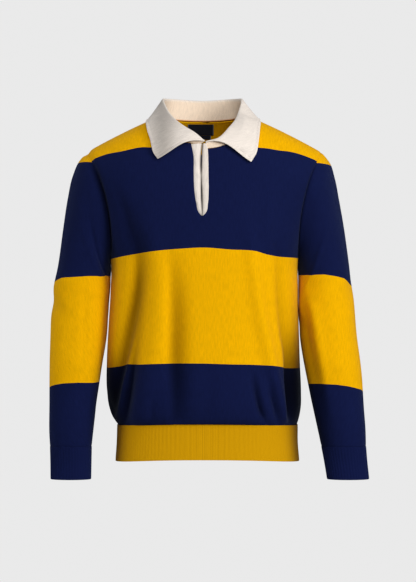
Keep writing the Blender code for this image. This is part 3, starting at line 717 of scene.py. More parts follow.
def armhole(side, angle):
    """The sleeve's edge: the armhole seam, moved out to lie against the panels' edge.

    It butts on the panels at the shoulder and lies beside them at the armpit.
    """
    z = armhole_z(angle)
    x = armhole_x(z, armpit_x(side))
    sign = SIDE_SIGN[side]
    front = body_depth(sign * x, z, "front")
    back = body_depth(sign * x, z, "back")
    y = np.where(np.sin(angle) >= 0, -front, back)
    aside = CORNER_GAP + CLOTH_WALL * (1 - np.cos(angle)) / 2
    inside = sign * (x - ARMHOLE_INSET)
    ahead = body_normal(inside, z, "front")
    behind = body_normal(inside, z, "back")
    outward = np.where((np.sin(angle) >= 0)[..., None], ahead, behind)
    return np.stack([sign * (x + aside), y, z], -1), outward


def sleeve_section(side, reach, angle):
    """A point of the sleeve's plain form: an ellipse between its outer and inner places."""
    at = row_at(SLEEVES[side], "reach", reach)
    middle = (at["outer"] + at["inner"]) / 2
    middle_z = (at["outer_z"] + at["inner_z"]) / 2
    x = middle + (at["outer"] - at["inner"] - CLOTH_WALL) / 2 * np.cos(angle)
    z = middle_z + (at["outer_z"] - at["inner_z"]) / 2 * np.cos(angle)
    y = -at["depth"] * np.sin(angle) - at["forward"]
    return np.stack([SIDE_SIGN[side] * x, y, z], -1)


def sleeve_creases(side, reach, angle):
    """Height of the sleeve's creases: bell profiles across slanting rings and long paths."""
    total = np.zeros(np.broadcast(reach, angle).shape)
    rings = ROUND_CREASES[side]
    for row in range(len(rings["height"])):
        ring = {name: column[row] for name, column in rings.items()}
        turn = (angle - np.radians(ring["angle"]) + np.pi) % (2 * np.pi) - np.pi
        across = (reach - ring["reach"] - ring["climb"] * turn) / ring["width"]
        total += ring["height"] * bell(across, 1) * bell(turn, np.radians(ring["spread"]))
    for path, width in LONG_CREASES[side]:
        middle = np.radians(smooth(reach, path["reach"], path["angle"]))
        turn = (angle - middle + np.pi) % (2 * np.pi) - np.pi
        total += smooth(reach, path["reach"], path["height"]) * bell(turn * ARM_RADIUS, width)
    return total


def turns(columns):
    """Angles round a sleeve from its underarm seam, at 180 degrees, and back to it."""
    return np.linspace(np.pi, 3 * np.pi, columns + 1)[None, :]


def sleeve(side):
    """The sleeve as a grid, armhole to cuff seam: its sections, with the armhole fading out."""
    share = np.linspace(0, 1, SLEEVE_ROWS + 1)[:, None] ** SLEEVE_SPACING
    reach = SLEEVES[side]["reach"][-1] * share
    angle = turns(SLEEVE_COLUMNS)
    points = sleeve_section(side, reach, angle)
    seam, seam_outward = armhole(side, angle)
    left = np.clip(1 - reach / ARMHOLE_FADE, 0, 1)
    points = points + (seam - points[:1]) * (left**2 * (3 - 2 * left))[..., None]
    from_arm = lengths(points, 0)
    from_cuff = lengths_back(points, 0)
    middle = points[:, :-1].mean(axis=1, keepdims=True)
    outward = unit(points - middle)
    seam_dip, seam_shade = side_seam(side, armhole_z(angle), from_arm)
    dips = SEAM_DIP / 3 * bell(from_cuff, SEAM_REACH)
    ends = np.sin(np.pi * share) ** 0.5
    plain = points
    points = plain + outward * (sleeve_creases(side, reach, angle) * ends - dips)[..., None]
    points = points - seam_dip[..., None] * seam_outward
    # painted shade on the sleeve's inner side
    inner = (-SLEEVE_SHADE_COSINE - np.cos(angle)) / (1 - SLEEVE_SHADE_COSINE)
    under_arm = np.clip(inner, 0, 1) ** 1.5
    low_down = np.clip((reach - SLEEVE_SHADE_REACH) / SLEEVE_SHADE_RUN, 0, 1)
    hoops = SLEEVE_HOOPS[side]
    degrees = np.degrees(angle) % 360
    edges = [np.interp(degrees, hoops["angle"], hoops[name]) for name in ("cap", "upper", "lower")]
    return {
        "points": points,
        "uv": np.stack([lengths(plain, 1), from_cuff], 2),
        "hoop": hoop_level(plain[..., 2], edges),
        "shade": seam_shade * (1 - SLEEVE_SHADE[side] * under_arm * low_down),
    }


def ribbed(points, ribs, middle):
    """Raise a closed ring's ribs: a cosine along the normals, flat at the top and bottom edges."""
    rows, columns, _ = points.shape
    count = np.linspace(0, ribs, columns)[None, :]
    up = lengths(points, 0)
    near = np.minimum(up, up[-1:] - up)
    height = RIB_HEIGHT * np.cos(2 * np.pi * count) * np.clip(near / RIB_EDGE, 0, 1) ** 0.5
    outward = unit((points - middle) * (1, 1, 0))
    rib_uv = np.stack(np.broadcast_arrays(count, up), 2)
    return {"points": points + outward * height[..., None], "uv": rib_uv}


def cuff(side):
    """The cuff as a grid of elliptical rings, the top one just clear of the sleeve."""
    rows = CUFFS[side]
    z = np.linspace(rows["height"][0], rows["height"][-1], RIB_ROWS)[:, None]
    at = row_at(rows, "height", z)
    z = z - SEAM_GAP / 2 * (z == z[-1])
    middle = (at["outer"] + at["inner"]) / 2
    half = (at["outer"] - at["inner"] - CLOTH_WALL) / 2
    angle = turns(CUFF_RIBS * RIB_POINTS)
    x = SIDE_SIGN[side] * (middle + half * np.cos(angle))
    y = -at["depth"] * np.sin(angle) - at["forward"]
    points = np.stack([x, y, z + 0 * x], 2)
    axis = np.stack([SIDE_SIGN[side] * middle, -at["forward"], z], 2)
    return ribbed(points, CUFF_RIBS, axis)


def hem():
    """The hem rib as a grid of rings, from the picture's left round the front and the back."""
    turn = np.linspace(-np.pi, np.pi, HEM_RIBS * RIB_POINTS + 1)[None, :]
    z = np.linspace(HEM["height"][0], HEM["height"][-1], RIB_ROWS)[:, None]
    at = row_at(HEM, "height", z)
    turn = turn - RIB_EVENING * np.sin(2 * turn)
    across, deep = np.cos(turn), np.sin(turn)
    width = np.where(across < 0, at["left"] + CENTRE_X, at["right"] - CENTRE_X)
    x = CENTRE_X + width * np.sign(across) * np.abs(across) ** (2 / SECTION_POWER)
    depth = np.where(deep < 0, at["front"], at["back"])
    y = depth * np.sign(deep) * np.abs(deep) ** (2 / SECTION_POWER)
    lift = smooth(z, LIFT["height"], LIFT["front"]) * (deep < 0)
    z = z + lift * (1 - np.abs(across) ** 2) - CORNER_GAP * (z == z[-1])
    points = np.stack(np.broadcast_arrays(x, y, z), 2)
    # painted shade towards the rib's sides
    side_x = np.where(x < 0, at["left"], at["right"])
    return ribbed(points, HEM_RIBS, (CENTRE_X, 0, 0)) | {"shade": side_shade(x, z, side_x)}


# ---------------------------------------------------------------------------------------------
# Collar, bands and labels

SHOULDER_STATION = 0.6
STATIONS = 110  # on half the collar
STAND_ROWS = 16
FALL_ROWS = 34
FALL_SPACING = 1.2  # more than 1 puts more rows near the fold
STAND_FOOT = 0.0008  # how far over the neck seam the stand starts
STAND_LEVEL_FOOT = 0.0018  # and how much further where the body lies level
FALL_LIFT = 0.0060  # of the leaves over the body
FOLD_ROLL = 0.011
FRONT_RUN = 0.130  # how far the front end's fold runs on outward before it drops
FRONT_RUN_RISE = 0.15
FRONT_RUN_STATION = 0.3
FRONT_RUN_EASE = 1.5
FALL_FLARE = np.array((1.2, 1.2, 0.85))
FRONT_FLARE = 0.75  # how much steeper the front end drops to its point
LEAST_STEEP = 0.35
NECK_MIDDLE = np.array((CENTRE_X, -0.02, 0.0))
FALL_START = 0.004  # past the fold, over which the leaves' rim and shade set in
COLLAR_RIM = 0.0009  # how far the free edges' rolled rim stands up
RIM_PLACE = 0.0022
RIM_REACH = 0.0016
RIM_GROOVE = 0.8  # the groove behind the rim: its depth for the rim's height
RIM_GROOVE_PLACE = 2.6
FOOT_GROOVE = 0.0006  # the line along which the stand is linked to the neck
FOOT_GROOVE_PLACE = 0.010
FOOT_GROOVE_REACH = 0.0012
STAND_FADE = 0.006  # below the fold, where the stand's painted reflected warmth fades out
LINKING_WIDTH = 0.0022  # of the linking yarn that shows round the back of the neck
LINKING_EDGE = 0.0006
LINKING_FROM_Y = -0.06  # it sets in from here backward
LINKING_RUN = 0.03
LEAF_SHADE = 0.46  # painted shade: how much darker the picture's left leaf is towards its outer edge
LEAF_SHADE_X = -0.080
LEAF_SHADE_REACH = 0.027
LEFT_END = 0.0014  # from the centre line to the stand's end at the picture's left
RIGHT_END = 0.0075  # and at its right, under the leaf
SLIT_HALF_SHARE = 0.35  # of a band's width, the most that half the slit may take
# Half the slit's width, which the bands all but close a third of the way down.
SLIT = in_mm(
    "height half",
    (-190, 0.8), (-175, 1.6), (-140, 1.8), (-122, 1.1), (-116, 0.8), (-108, 1.6), (-90, 2.3),
    (-70, 1.9), (-55, 1.5),
)
BAND_ROWS = 90
BAND_COLUMNS = 14
BAND_SPACING = 1.3  # more than 1 puts more rows near the foot
BAND_TOP_GAP = 0.0011
BAND_FOOT_GAP = 0.0022
BAND_SEAM = 1.4 * SEAM_GAP  # much more, and a band's sheet crosses itself at its foot
BAND_ROLL = 0.0026
BAND_FULL_WIDTH = 0.007  # a narrower band rolls less
BAND_WAVER = 0.25  # how unevenly a band rolls, and the lengths of its two waves
BAND_WAVES = (0.011, 0.0047)
# painted shade: the band at the picture's right is darker all over
BAND_PAINTED_SHADE = {"left": 1.0, "right": 0.86}
BAND_SHADE = 0.62  # painted shade: how much darker the bands are down in the slit
BAND_SHADE_REACH = 0.0015
# Each label's left, right, bottom and top, and how far inside the back panel it lies.
LABELS = {
    "neck_label": (-0.0330, 0.0195, -0.0205, 0.0010),
    "size_tab": (-0.0265, 0.0140, -0.0290, -0.0212),
}
LABEL_LIFT = 0.0040
LABEL_COLUMNS = 40
LABEL_ROWS = 16
SELVEDGE = 0.0012  # over which a label's lighter end fades out
SELVEDGE_FULL = 0.6  # the share of that by which it is full before


def level_share(x, z):
    """How level the body lies at a place in the front view: 1 on the shoulder seam, 0 below."""
    return 1 - np.clip((shoulder_line(x) - z) / SHOULDER_ROLL, 0, 1)


def neck_foot(side, station):
    """Foot of the collar's stand: along the neck seam, a little over it."""
    front = np.clip(1 - station / SHOULDER_STATION, 0, 1)
    back = np.clip((station - SHOULDER_STATION) / (1 - SHOULDER_STATION), 0, 1)
    front_x, front_z = neckline(side, "front", front * np.pi / 2)
    back_x, back_z = neckline(side, "back", back * np.pi / 2)
    ahead = station < SHOULDER_STATION
    x = np.where(ahead, front_x, back_x)
    sign = SIDE_SIGN[side]
    least = LEFT_END if side == "left" else RIGHT_END
    off_centre = np.where(ahead, np.maximum(sign * (x - CENTRE_X), least), sign * (x - CENTRE_X))
    front_y = -body_depth(front_x, front_z, "front")
    y = np.where(ahead, front_y, body_depth(back_x, back_z, "back"))
    z = np.where(ahead, front_z, back_z)
    z = z + STAND_FOOT + STAND_LEVEL_FOOT * level_share(x, z)
    return np.stack([CENTRE_X + sign * off_centre, y, z], -1)


def neck_share(side, facing, x, z):
    """How far out of the neck a place in the front view lies: 1 on the neck seam."""
    drop = np.where(facing < 0, neck_drop(side, "front"), neck_drop(side, "back"))
    across = np.abs(x - CENTRE_X) / NECK_HALF
    down = np.clip(neck_top(side)[1] - z, 0, None) / drop
    return (across**NECK_POWER + down**NECK_POWER) ** (1 / NECK_POWER)


def over_panel(x, z, facing, lift):
    """The panel's point at a place in the front view, moved out; facing is -1 front, 1 back."""
    depth = np.where(facing < 0, body_depth(x, z, "front"), body_depth(x, z, "back"))
    level = level_share(x, z)
    steep = np.sqrt(1 - level**2)
    return np.stack([x, facing * (depth + lift * steep), z + lift * level], -1)


def hermite(start, start_pull, end, end_pull, share):
    """Cubic curve between two points that leaves and arrives along the two pulls."""
    rest = 1 - share
    return (
        start * (1 + 2 * share) * rest**2
        + end * share**2 * (3 - 2 * share)
        + start_pull * share * rest**2
        - end_pull * share**2 * rest
    )


def half_collar(side):
    """Half the collar as a grid: stand from the neck seam to the fold, fall to the free edge."""
    station = np.linspace(0, 1, STATIONS + 1)
    at = row_at(COLLAR[side], "station", station)
    foot = neck_foot(side, station)
    fold = np.stack([at["fold_x"], at["fold_y"], at["fold_z"]], -1)
    facing = np.where(station < SHOULDER_STATION, -1, 1)
    edge_z = shoulder_line(at["edge_x"]) - np.clip(at["edge_below"], 0, None)
    edge = over_panel(at["edge_x"], edge_z, facing, FALL_LIFT)
    into = unit(unit(fold - foot) - unit(edge - fold))
    over = unit(np.cross(np.gradient(fold, axis=0), into))
    over *= np.sign(np.sum(over * (fold - NECK_MIDDLE) * (1, 1, 0), axis=1, keepdims=True))
    rise = np.linalg.norm(fold - foot, axis=1, keepdims=True)
    ahead = np.clip(1 - station / FRONT_RUN_STATION, 0, 1)[:, None] ** FRONT_RUN_EASE
    stand_share = np.linspace(0, 1, STAND_ROWS + 1)[:, None, None]
    fall_share = np.linspace(0, 1, FALL_ROWS + 1)[1:, None, None] ** FALL_SPACING
    roll = over * FOLD_ROLL
    stand = hermite(foot, fold - foot, fold, over * np.minimum(FOLD_ROLL, rise), stand_share)
    start_pull = roll + ahead * FRONT_RUN * (SIDE_SIGN[side], 0, FRONT_RUN_RISE)
    flare = FALL_FLARE + ahead * (0, 0, FRONT_FLARE)
    fall = hermite(fold, start_pull, edge, (edge - fold) * flare, fall_share)
    steep = np.sqrt(1 - level_share(fall[..., 0], fall[..., 2]) ** 2)
    least = over_panel(fall[..., 0], fall[..., 2], facing, 0)[..., 1] * facing
    least = least + FALL_LIFT / np.maximum(steep, LEAST_STEEP)
    start = neck_share(side, facing, fold[:, 0], fold[:, 2])
    past = (neck_share(side, facing, fall[..., 0], fall[..., 2]) - start) / (1 - start)
    past = np.clip(np.where(fall[..., 2] < shoulder_line(fall[..., 0]), past, 0), 0, 1)
    depth = fall[..., 1] * facing
    fall[..., 1] = facing * (depth + (np.maximum(depth, least) - depth) * past)
    return np.concatenate([stand, fall])


def collar():
    """Both halves of the collar as one grid, from one front end round the back to the other.

    A rolled rim runs along the free edges with a groove behind it. "hoop" is 1 on the stand, where
    it paints the warmth of reflected light, 2 on the linking yarn and 0 on the leaves; "shade" is
    painted shade on the picture's left leaf.
    """
    points = np.concatenate([half_collar("left"), half_collar("right")[:, -2::-1]], axis=1)
    along = lengths(points, 1)
    from_foot = lengths(points, 0)
    to_free = lengths_back(points, 0)
    ends = np.minimum(along, along[:, -1:] - along)
    edge = np.minimum(to_free, ends)
    rim = COLLAR_RIM * bell(edge - RIM_PLACE, RIM_REACH)
    groove = -COLLAR_RIM * RIM_GROOVE * bell(edge - RIM_GROOVE_PLACE * RIM_PLACE, RIM_REACH)
    outward = normals(points, points[:1])
    past_fold = from_foot - from_foot[STAND_ROWS]
    share = np.clip(past_fold / FALL_START, 0, 1)
    # painted reflected warmth on the stand, fading out below the fold
    warm = 1 - np.clip((past_fold + STAND_FADE) / STAND_FADE, 0, 1)
    behind = np.clip((points[..., 1] - LINKING_FROM_Y) / LINKING_RUN, 0, 1)
    warm = warm + behind * np.clip((LINKING_WIDTH - from_foot) / LINKING_EDGE, 0, 1)
    foot_groove = FOOT_GROOVE * bell(from_foot - FOOT_GROOVE_PLACE, FOOT_GROOVE_REACH)
    points = points + outward * ((rim + groove) * share + foot_groove)[..., None]
    x = points[..., 0]
    # painted shade on the picture's left leaf
    shade = 1 - LEAF_SHADE * share * (x < 0) * bell(x - LEAF_SHADE_X, LEAF_SHADE_REACH)
    return {"points": points, "uv": np.stack([along, from_foot], 2), "hoop": warm, "shade": shade}


def band(side):
    """A placket band as a grid, foot to top, from the slit to a seam short of the slot's edge.

    Across, it is a soft roll: half a sine's height over the panels, fullest towards its outer rim.
    """
    sign = SIDE_SIGN[side]
    top = neckline("left", "front", neck_start("left"))[1] - BAND_TOP_GAP
    foot = SLOT_FOOT_Z + BAND_FOOT_GAP
    z = foot + (top - foot) * np.linspace(0, 1, BAND_ROWS + 1) ** BAND_SPACING
    edge = slot_x(side, z) - sign * BAND_SEAM
    slit = smooth(z, PLACKET["height"], PLACKET["slit"])
    half = smooth(z, SLIT["height"], SLIT["half"])
    slit = slit + sign * np.minimum(half, np.abs(edge - slit) * SLIT_HALF_SHARE)
    share = np.linspace(0, 1, BAND_COLUMNS + 1)[None, :]
    width = (edge - slit)[:, None]
    x = slit[:, None] + width * share
    z = z[:, None] + 0 * x
    long_wave, short_wave = BAND_WAVES
    waver = 1 + BAND_WAVER * np.sin(z / long_wave) * np.sin(z / short_wave + sign)
    roll = BAND_ROLL * np.sin(np.pi * share**0.8) ** 0.7 * waver
    roll = roll * np.clip(np.abs(width) / BAND_FULL_WIDTH, 0, 1)
    points = np.stack([x, -body_depth(x, z, "front") - roll, z], 2)
    # painted shade down in the slit, and over the band at the picture's right
    shade = 1 - BAND_SHADE * bell(np.abs(width) * share, BAND_SHADE_REACH)
    return {"points": points, "uv": np.stack([x, z], 2), "shade": shade * BAND_PAINTED_SHADE[side]}


def label(name):
    """A label as a grid just inside the back panel. "hoop" is 1 on the selvedge at its ends."""
    left, right, bottom, top = LABELS[name]
    across = np.linspace(left, right, LABEL_COLUMNS + 1)
    x, z = np.meshgrid(across, np.linspace(bottom, top, LABEL_ROWS + 1))
    points = over_panel(x, z, 1, -LABEL_LIFT)
    edge = np.clip(1 + SELVEDGE_FULL - np.minimum(x - left, right - x) / SELVEDGE, 0, 1)
    return {"points": points, "uv": np.stack([x - left, z - bottom], 2), "hoop": edge}


# ---------------------------------------------------------------------------------------------
# Finishes


def linear(colour):
    """An sRGB hex colour as linear red, green, blue and alpha."""
    part = np.array([int(colour[i : i + 2], 16) for i in (1, 3, 5)]) / 255
    return (*np.where(part <= 0.04045, part / 12.92, ((part + 0.055) / 1.055) ** 2.4), 1)


def add(tree, kind, links=None, **settings):
    """Add a node: its settings, then its sockets, each a value or another node's socket."""
    node = tree.nodes.new("ShaderNode" + kind)
    for name, value in settings.items():
        setattr(node, name, value)
    for name, value in (links or {}).items():
        if isinstance(value, bpy.types.NodeSocket):
            tree.links.new(value, node.inputs[name])
        else:
            node.inputs[name].default_value = value
    return node


def blank(name):
    """A new material, its node tree and its shader."""
    material = bpy.data.materials.new(name)
    material.use_nodes = True
    return material, material.node_tree, material.node_tree.nodes["Principled BSDF"]


YELLOW = "#f2b400"
NAVY = "#1c254b"
CREAM = "#f1e8df"
REFLECTED_WARM_CREAM = "#f4dfc8"  # painted reflected light: the stand's cream warmed by the yellow round it
LINKING = "#d9975c"  # the yarn that links the stand to the neck
SHADED_GOLD = "#cf9a0d"  # painted shade: the rib's yellow, darkened for the shade it lies in
RIBBON = "#2c2f3d"
RIBBON_END = "#7d8498"
# A fine knit's stitch is about 1.8 by 1.4 mm. The body's are drawn a third larger, so that they
# show at all; the collar's are that size.
WALE = 0.0024  # width of a stitch
COURSE = 0.0018  # height of a stitch
CLOSE_WALE = 0.0018
CLOSE_COURSE = 0.0014
RIB_WALE = 0.5  # on a rib the stitches count by ribs, of which each is two columns
STITCH_SLANT = 1.5  # courses by which a stitch's leg climbs over its width
LOOP_SHARE = 0.35  # how far the loops stand up, against the columns' own rounding
YARN_STREAKS = (430, 62, 1)  # per metre: the yarn varies over 2.3 mm across and 16 mm along
YARN_SHADE = (0.90, 1.07)
# painted shade: darker in the grooves between the stitches, a little lighter on their tops
GROOVE_SHADE = (0.72, 1.04)
COTTON = {
    "Roughness": 0.9,
    "IOR": 1.5,
    "Specular IOR Level": 0.08,
    "Sheen Weight": 0.08,
    "Sheen Roughness": 0.35,
    "Sheen Tint": (0.75, 0.85, 1.0, 1.0),
}
THREADS = 2500  # per metre: 0.4 mm, which is coarser than a ribbon's thread, so that it shows


def knit(name, colours, wale=WALE, course=COURSE, depth=0.0005, hooped=False):
    """Plain knitted cotton, worked face out: columns of small V stitches with a soft nap.

    The V's are a triangle wave across each column that shifts a cosine along it. They raise a
    bump, and the grooves are darkened as painted shade; a stretched noise varies the yarn. The
    "hoop" attribute says which of the colours shows: on a hooped cloth the first two by turns, or
    else each in its order. The "shade" attribute multiplies in each piece's painted shade.
    """
    material, tree, shader = blank(name)
    place = add(tree, "UVMap", uv_map="stitches")
    split = add(tree, "SeparateXYZ", {0: place.outputs[0]})
    across = add(tree, "Math", {0: split.outputs[0], 1: wale}, operation="DIVIDE")
    up = add(tree, "Math", {0: split.outputs[1], 1: course}, operation="DIVIDE")
    leg = add(tree, "Math", {0: across.outputs[0], 1: 0.5}, operation="PINGPONG")
    links = {0: leg.outputs[0], 1: STITCH_SLANT, 2: up.outputs[0]}
    slant = add(tree, "Math", links, operation="MULTIPLY_ADD")
    phase = add(tree, "Math", {0: slant.outputs[0], 1: 2 * np.pi}, operation="MULTIPLY")
    loop = add(tree, "Math", {0: phase.outputs[0]}, operation="COSINE")
    side = add(tree, "Math", {0: leg.outputs[0], 1: 2 * np.pi}, operation="MULTIPLY")
    barrel = add(tree, "Math", {0: side.outputs[0]}, operation="SINE")
    links = {0: loop.outputs[0], 1: LOOP_SHARE, 2: barrel.outputs[0]}
    body = add(tree, "Math", links, operation="MULTIPLY_ADD")
    height = add(tree, "MapRange", {0: body.outputs[0], 1: -LOOP_SHARE, 2: 1 + LOOP_SHARE})
    bump = add(tree, "Bump", {"Strength": 0.6, "Distance": depth, "Height": height.outputs[0]})
    if len(colours) > 1:
        other = add(tree, "Attribute", attribute_name="hoop").outputs["Fac"]
        if hooped:
            around = add(tree, "Math", {0: other, 1: 2.0}, operation="FLOORED_MODULO")
            odd = add(tree, "Math", {0: around.outputs[0], 1: 1.0}, operation="GREATER_THAN")
            other = odd.outputs[0]
        colour = linear(colours[0])
        for step, shown in enumerate(colours[1:]):
            share = add(tree, "Math", {0: other, 1: float(step)}, operation="SUBTRACT")
            links = {0: share.outputs[0], 6: colour, 7: linear(shown)}
            colour = add(tree, "Mix", links, data_type="RGBA").outputs[2]
    else:
        plain = add(tree, "RGB")
        plain.outputs[0].default_value = linear(colours[0])
        colour = plain.outputs[0]
    stretch = add(tree, "Mapping", {"Vector": place.outputs[0], "Scale": YARN_STREAKS})
    yarn = add(tree, "TexNoise", {"Vector": stretch.outputs[0], "Scale": 1.0, "Detail": 3.0})
    low, high = YARN_SHADE
    shade = add(tree, "MapRange", {0: yarn.outputs[0], 1: 0.3, 2: 0.7, 3: low, 4: high})
    low, high = GROOVE_SHADE
    groove = add(tree, "MapRange", {0: height.outputs[0], 3: low, 4: high})
    tone = add(tree, "Math", {0: shade.outputs[0], 1: groove.outputs[0]}, operation="MULTIPLY")
    # the painted shade that each piece carries
    dark = add(tree, "Attribute", attribute_name="shade")
    tone = add(tree, "Math", {0: tone.outputs[0], 1: dark.outputs["Fac"]}, operation="MULTIPLY")
    toned = add(tree, "VectorMath", {0: colour, "Scale": tone.outputs[0]}, operation="SCALE")
    tree.links.new(toned.outputs[0], shader.inputs["Base Color"])
    tree.links.new(bump.outputs[0], shader.inputs["Normal"])
    for socket, value in COTTON.items():
        shader.inputs[socket].default_value = value
    return material


def woven(name, colour, selvedge):
    """Plain woven ribbon of fine thread, with a low sheen: warp and weft as a fine chequer.

    The "hoop" attribute is 1 on its lighter selvedge.
    """
    material, tree, shader = blank(name)
    place = add(tree, "UVMap", uv_map="stitches")
    spaced = add(tree, "Mapping", {"Vector": place.outputs[0], "Scale": (THREADS, THREADS, 1)})
    weave = add(tree, "TexChecker", {"Vector": spaced.outputs[0], "Scale": 1.0})
    bump = add(tree, "Bump", {"Strength": 0.4, "Distance": 0.0002, "Height": weave.outputs["Fac"]})
    tree.links.new(bump.outputs[0], shader.inputs["Normal"])
    edge = add(tree, "Attribute", attribute_name="hoop")
    links = {0: edge.outputs["Fac"], 6: linear(colour), 7: linear(selvedge)}
    base = add(tree, "Mix", links, data_type="RGBA")
    tree.links.new(base.outputs[2], shader.inputs["Base Color"])
    shader.inputs["Roughness"].default_value = 0.55
    return material


# ---------------------------------------------------------------------------------------------
# Making the pieces


RIM_SHARE = 0.42  # of a wall's thickness that is rounded off along each rim
RIM_ANGLE = np.radians(60)
STEPS_PER_METRE = 1e6  # points nearer than a micrometre are one


def mesh_piece(name, grids, wall, material):
    """One sheet of cloth from grids that share edges, given its wall and softened rims.

    Points that coincide become one, which also closes a grid whose last column is its first.
    """
    points, faces, corners_uv, hoops, shades = [], [], [], [], []
    for grid in grids:
        rows, columns, _ = grid["points"].shape
        index = np.arange(rows * columns).reshape(rows, columns) + sum(map(len, points))
        quads = np.stack((index[:-1, :-1], index[:-1, 1:], index[1:, 1:], index[1:, :-1]), 2)
        quads = quads.reshape(-1, 4)
        faces.append(quads[:, ::-1] if grid.get("flip") else quads)
        points.append(grid["points"].reshape(-1, 3))
        corners_uv.append(grid["uv"].reshape(-1, 2))
        hoops.append(grid.get("hoop", np.zeros((rows, columns))).reshape(-1))
        shades.append(grid.get("shade", np.ones((rows, columns))).reshape(-1))
    points, faces = np.concatenate(points), np.concatenate(faces)
    uv, hoops, shades = (np.concatenate(each) for each in (corners_uv, hoops, shades))
    keys = np.round(points * STEPS_PER_METRE).astype(int)
    _, first, merged = np.unique(keys, axis=0, return_index=True, return_inverse=True)
    merged = merged.reshape(-1)
    mesh = bpy.data.meshes.new(name)
    mesh.from_pydata(points[first].tolist(), [], merged[faces].tolist())
    layer = mesh.uv_layers.new(name="stitches")
    layer.data.foreach_set("uv", uv[faces.reshape(-1)].astype(np.float32).reshape(-1))
    for title, values in (("hoop", hoops), ("shade", shades)):
        layer = mesh.attributes.new(title, "FLOAT", "POINT")
        layer.data.foreach_set("value", values[first].astype(np.float32))
    mesh.materials.append(material)
    mesh.shade_smooth()
    piece = bpy.data.objects.new(name, mesh)
    bpy.context.scene.collection.objects.link(piece)
    solidify = piece.modifiers.new("wall", "SOLIDIFY")
    solidify.thickness = wall
    solidify.offset = 0
    bevel = piece.modifiers.new("rim", "BEVEL")
    bevel.width = wall * RIM_SHARE
    bevel.segments = 2
    bevel.limit_method = "ANGLE"
    bevel.angle_limit = RIM_ANGLE
    return piece


# Combed cotton, plain knitted in two colours of yarn: matt and soft, with a faint nap that lights
# up towards the edges, and upright columns of small V's with painted shade in the grooves between
# them, and painted shade in its creases, at its sides and along its seams.
hooped = knit("hooped_fine_knit", (YELLOW, NAVY), hooped=True)
# The same cotton in a one and one rib, pulled tight: fine upright lines, in a gold darkened as
# painted shade, with more painted shade at its sides.
gold_rib = knit("gold_ribbed_knit", (SHADED_GOLD,), wale=RIB_WALE)
# The same rib in navy for the cuffs: only the ribs' backs catch the light.
navy_rib = knit("navy_ribbed_knit", (NAVY,), wale=RIB_WALE)
# Undyed cotton, knitted finer and closer: a smooth, firm, matt cream with hardly any grain, with
# painted reflected warmth on the stand, and the tan linking yarn round its foot; painted shade on
# the picture's left leaf and down in the placket's slit.
cream = (CREAM, REFLECTED_WARM_CREAM, LINKING)
cream_knit = knit("cream_close_knit", cream, wale=CLOSE_WALE, course=CLOSE_COURSE, depth=0.0003)
# Polyester ribbon, woven plain and cut to length: dark and smooth, with a low even sheen and a
# paler selvedge at its ends.
ribbon = woven("woven_label_ribbon", RIBBON, RIBBON_END)

made = {}
for face in ("front", "back"):
    halves = [half_panel(side, face) for side in ("left", "right")]
    halves[0]["flip"] = face == "front"
    halves[1]["flip"] = face == "back"
    made[face] = mesh_piece(f"{face}_panel", halves, CLOTH_WALL, hooped)
for side in ("left", "right"):
    wearer = WEARER[side]
    for kind, shape, wall, material, flipped in (
        ("sleeve", sleeve, CLOTH_WALL, hooped, "left"),
        ("cuff", cuff, RIB_WALL, navy_rib, "right"),
        ("placket", band, BAND_WALL, cream_knit, "left"),
    ):
        grid = shape(side) | {"flip": side == flipped}
        made[f"{kind}_{wearer}"] = mesh_piece(f"{wearer}_{kind}", [grid], wall, material)
made["hem_rib"] = mesh_piece("hem_band", [hem()], RIB_WALL, gold_rib)
made["collar"] = mesh_piece("polo_collar", [collar()], COLLAR_WALL, cream_knit)
for name in LABELS:
    made[name] = mesh_piece(f"{name}_ribbon", [label(name)], LABEL_WALL, ribbon)


for node, piece in made.items():
    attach(piece, "root")
    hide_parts(node)

# ---------------------------------------------------------------------------------------------
# Studio: camera, light and floor

FRAME_HEIGHT_PX = 582
PIXEL = 0.002  # metres at the plane of the side seams
DISTANCE = 4.0
TARGET = (0.008, 0.0, -0.34)
SENSOR = 36.0
BACKDROP = "#eaeaea"
AMBIENT = 0.23  # what the surround gives, for what the camera sees of it
FLOOR_Z = -1.45
FLOOR_SIZE = 2.6
LAMPS = {  # place, target, width and height, watts and colour of each
    "key": ((2.4, -2.3, 0.8), (0, 0, -0.3), (1.1, 1.8), 76, (1.0, 0.98, 0.96)),
    "front": ((0.3, -3.9, 0.8), (0, 0, -0.3), (1.8, 1.4), 59, (1.0, 0.99, 0.98)),
    "top": ((0.2, -1.7, 2.2), (0, 0, -0.1), (1.2, 0.9), 12, (1.0, 0.99, 0.98)),
    "rim": ((-2.8, 0.0, 0.3), (0, 0, -0.3), (0.8, 1.8), 25, (0.92, 0.96, 1.0)),
}
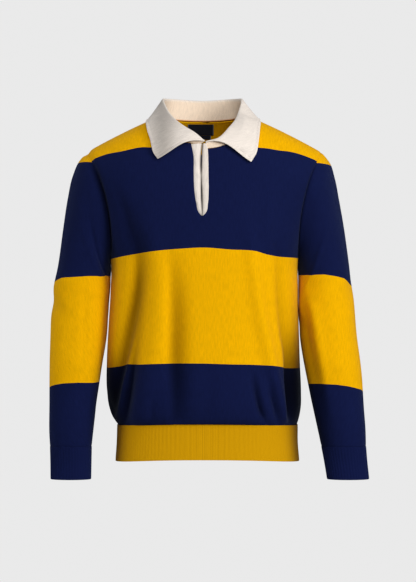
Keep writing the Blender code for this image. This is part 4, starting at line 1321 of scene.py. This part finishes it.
# Light and what it shows as: deepens the darks.
TONE = ((0.01, 0.0043), (0.03, 0.0170), (0.07, 0.053), (0.15, 0.135), (0.3, 0.29))


def lamp(name, place, target, size, power, colour):
    """A soft rectangular light at a place, turned to a target."""
    data = bpy.data.lights.new(name, "AREA")
    data.shape = "RECTANGLE"
    data.size, data.size_y = size
    data.energy = power
    data.color = colour
    light = bpy.data.objects.new(name, data)
    light.location = place
    way = Vector([there - here for there, here in zip(target, place)])
    light.rotation_euler = way.to_track_quat("-Z", "Y").to_euler()
    bpy.context.scene.collection.objects.link(light)


def studio():
    """A level camera, a key from the picture's right, soft fill and an even pale surround."""
    scene = bpy.context.scene
    data = bpy.data.cameras.new("camera")
    data.sensor_fit = "VERTICAL"
    data.sensor_height = SENSOR
    data.lens = SENSOR * DISTANCE / (FRAME_HEIGHT_PX * PIXEL)
    camera = bpy.data.objects.new("camera", data)
    camera.location = (TARGET[0], TARGET[1] - DISTANCE, TARGET[2])
    camera.rotation_euler = (np.pi / 2, 0, 0)
    scene.collection.objects.link(camera)
    scene.camera = camera
    for name, setting in LAMPS.items():
        lamp(name, *setting)
    world = bpy.data.worlds.new("surround")
    scene.world = world
    world.use_nodes = True
    tree = world.node_tree
    glow = tree.nodes["Background"]
    rays = add(tree, "LightPath")
    seen = add(tree, "Mix", {0: rays.outputs["Is Camera Ray"], 2: AMBIENT, 3: 1.0})
    glow.inputs["Color"].default_value = linear(BACKDROP)
    tree.links.new(seen.outputs[0], glow.inputs["Strength"])
    bpy.ops.mesh.primitive_plane_add(size=FLOOR_SIZE, location=(0, 0, FLOOR_Z))
    floor = bpy.context.object
    floor.name = "floor"
    paint, _, shader = blank("pale_floor")
    shader.inputs["Base Color"].default_value = linear(BACKDROP)
    shader.inputs["Roughness"].default_value = 0.9
    floor.data.materials.append(paint)
    view = scene.view_settings
    view.view_transform = "Standard"
    view.use_curve_mapping = True
    curve = view.curve_mapping.curves[3]
    for dark, shown in TONE:
        curve.points.new(dark, shown)
    view.curve_mapping.update()


studio()
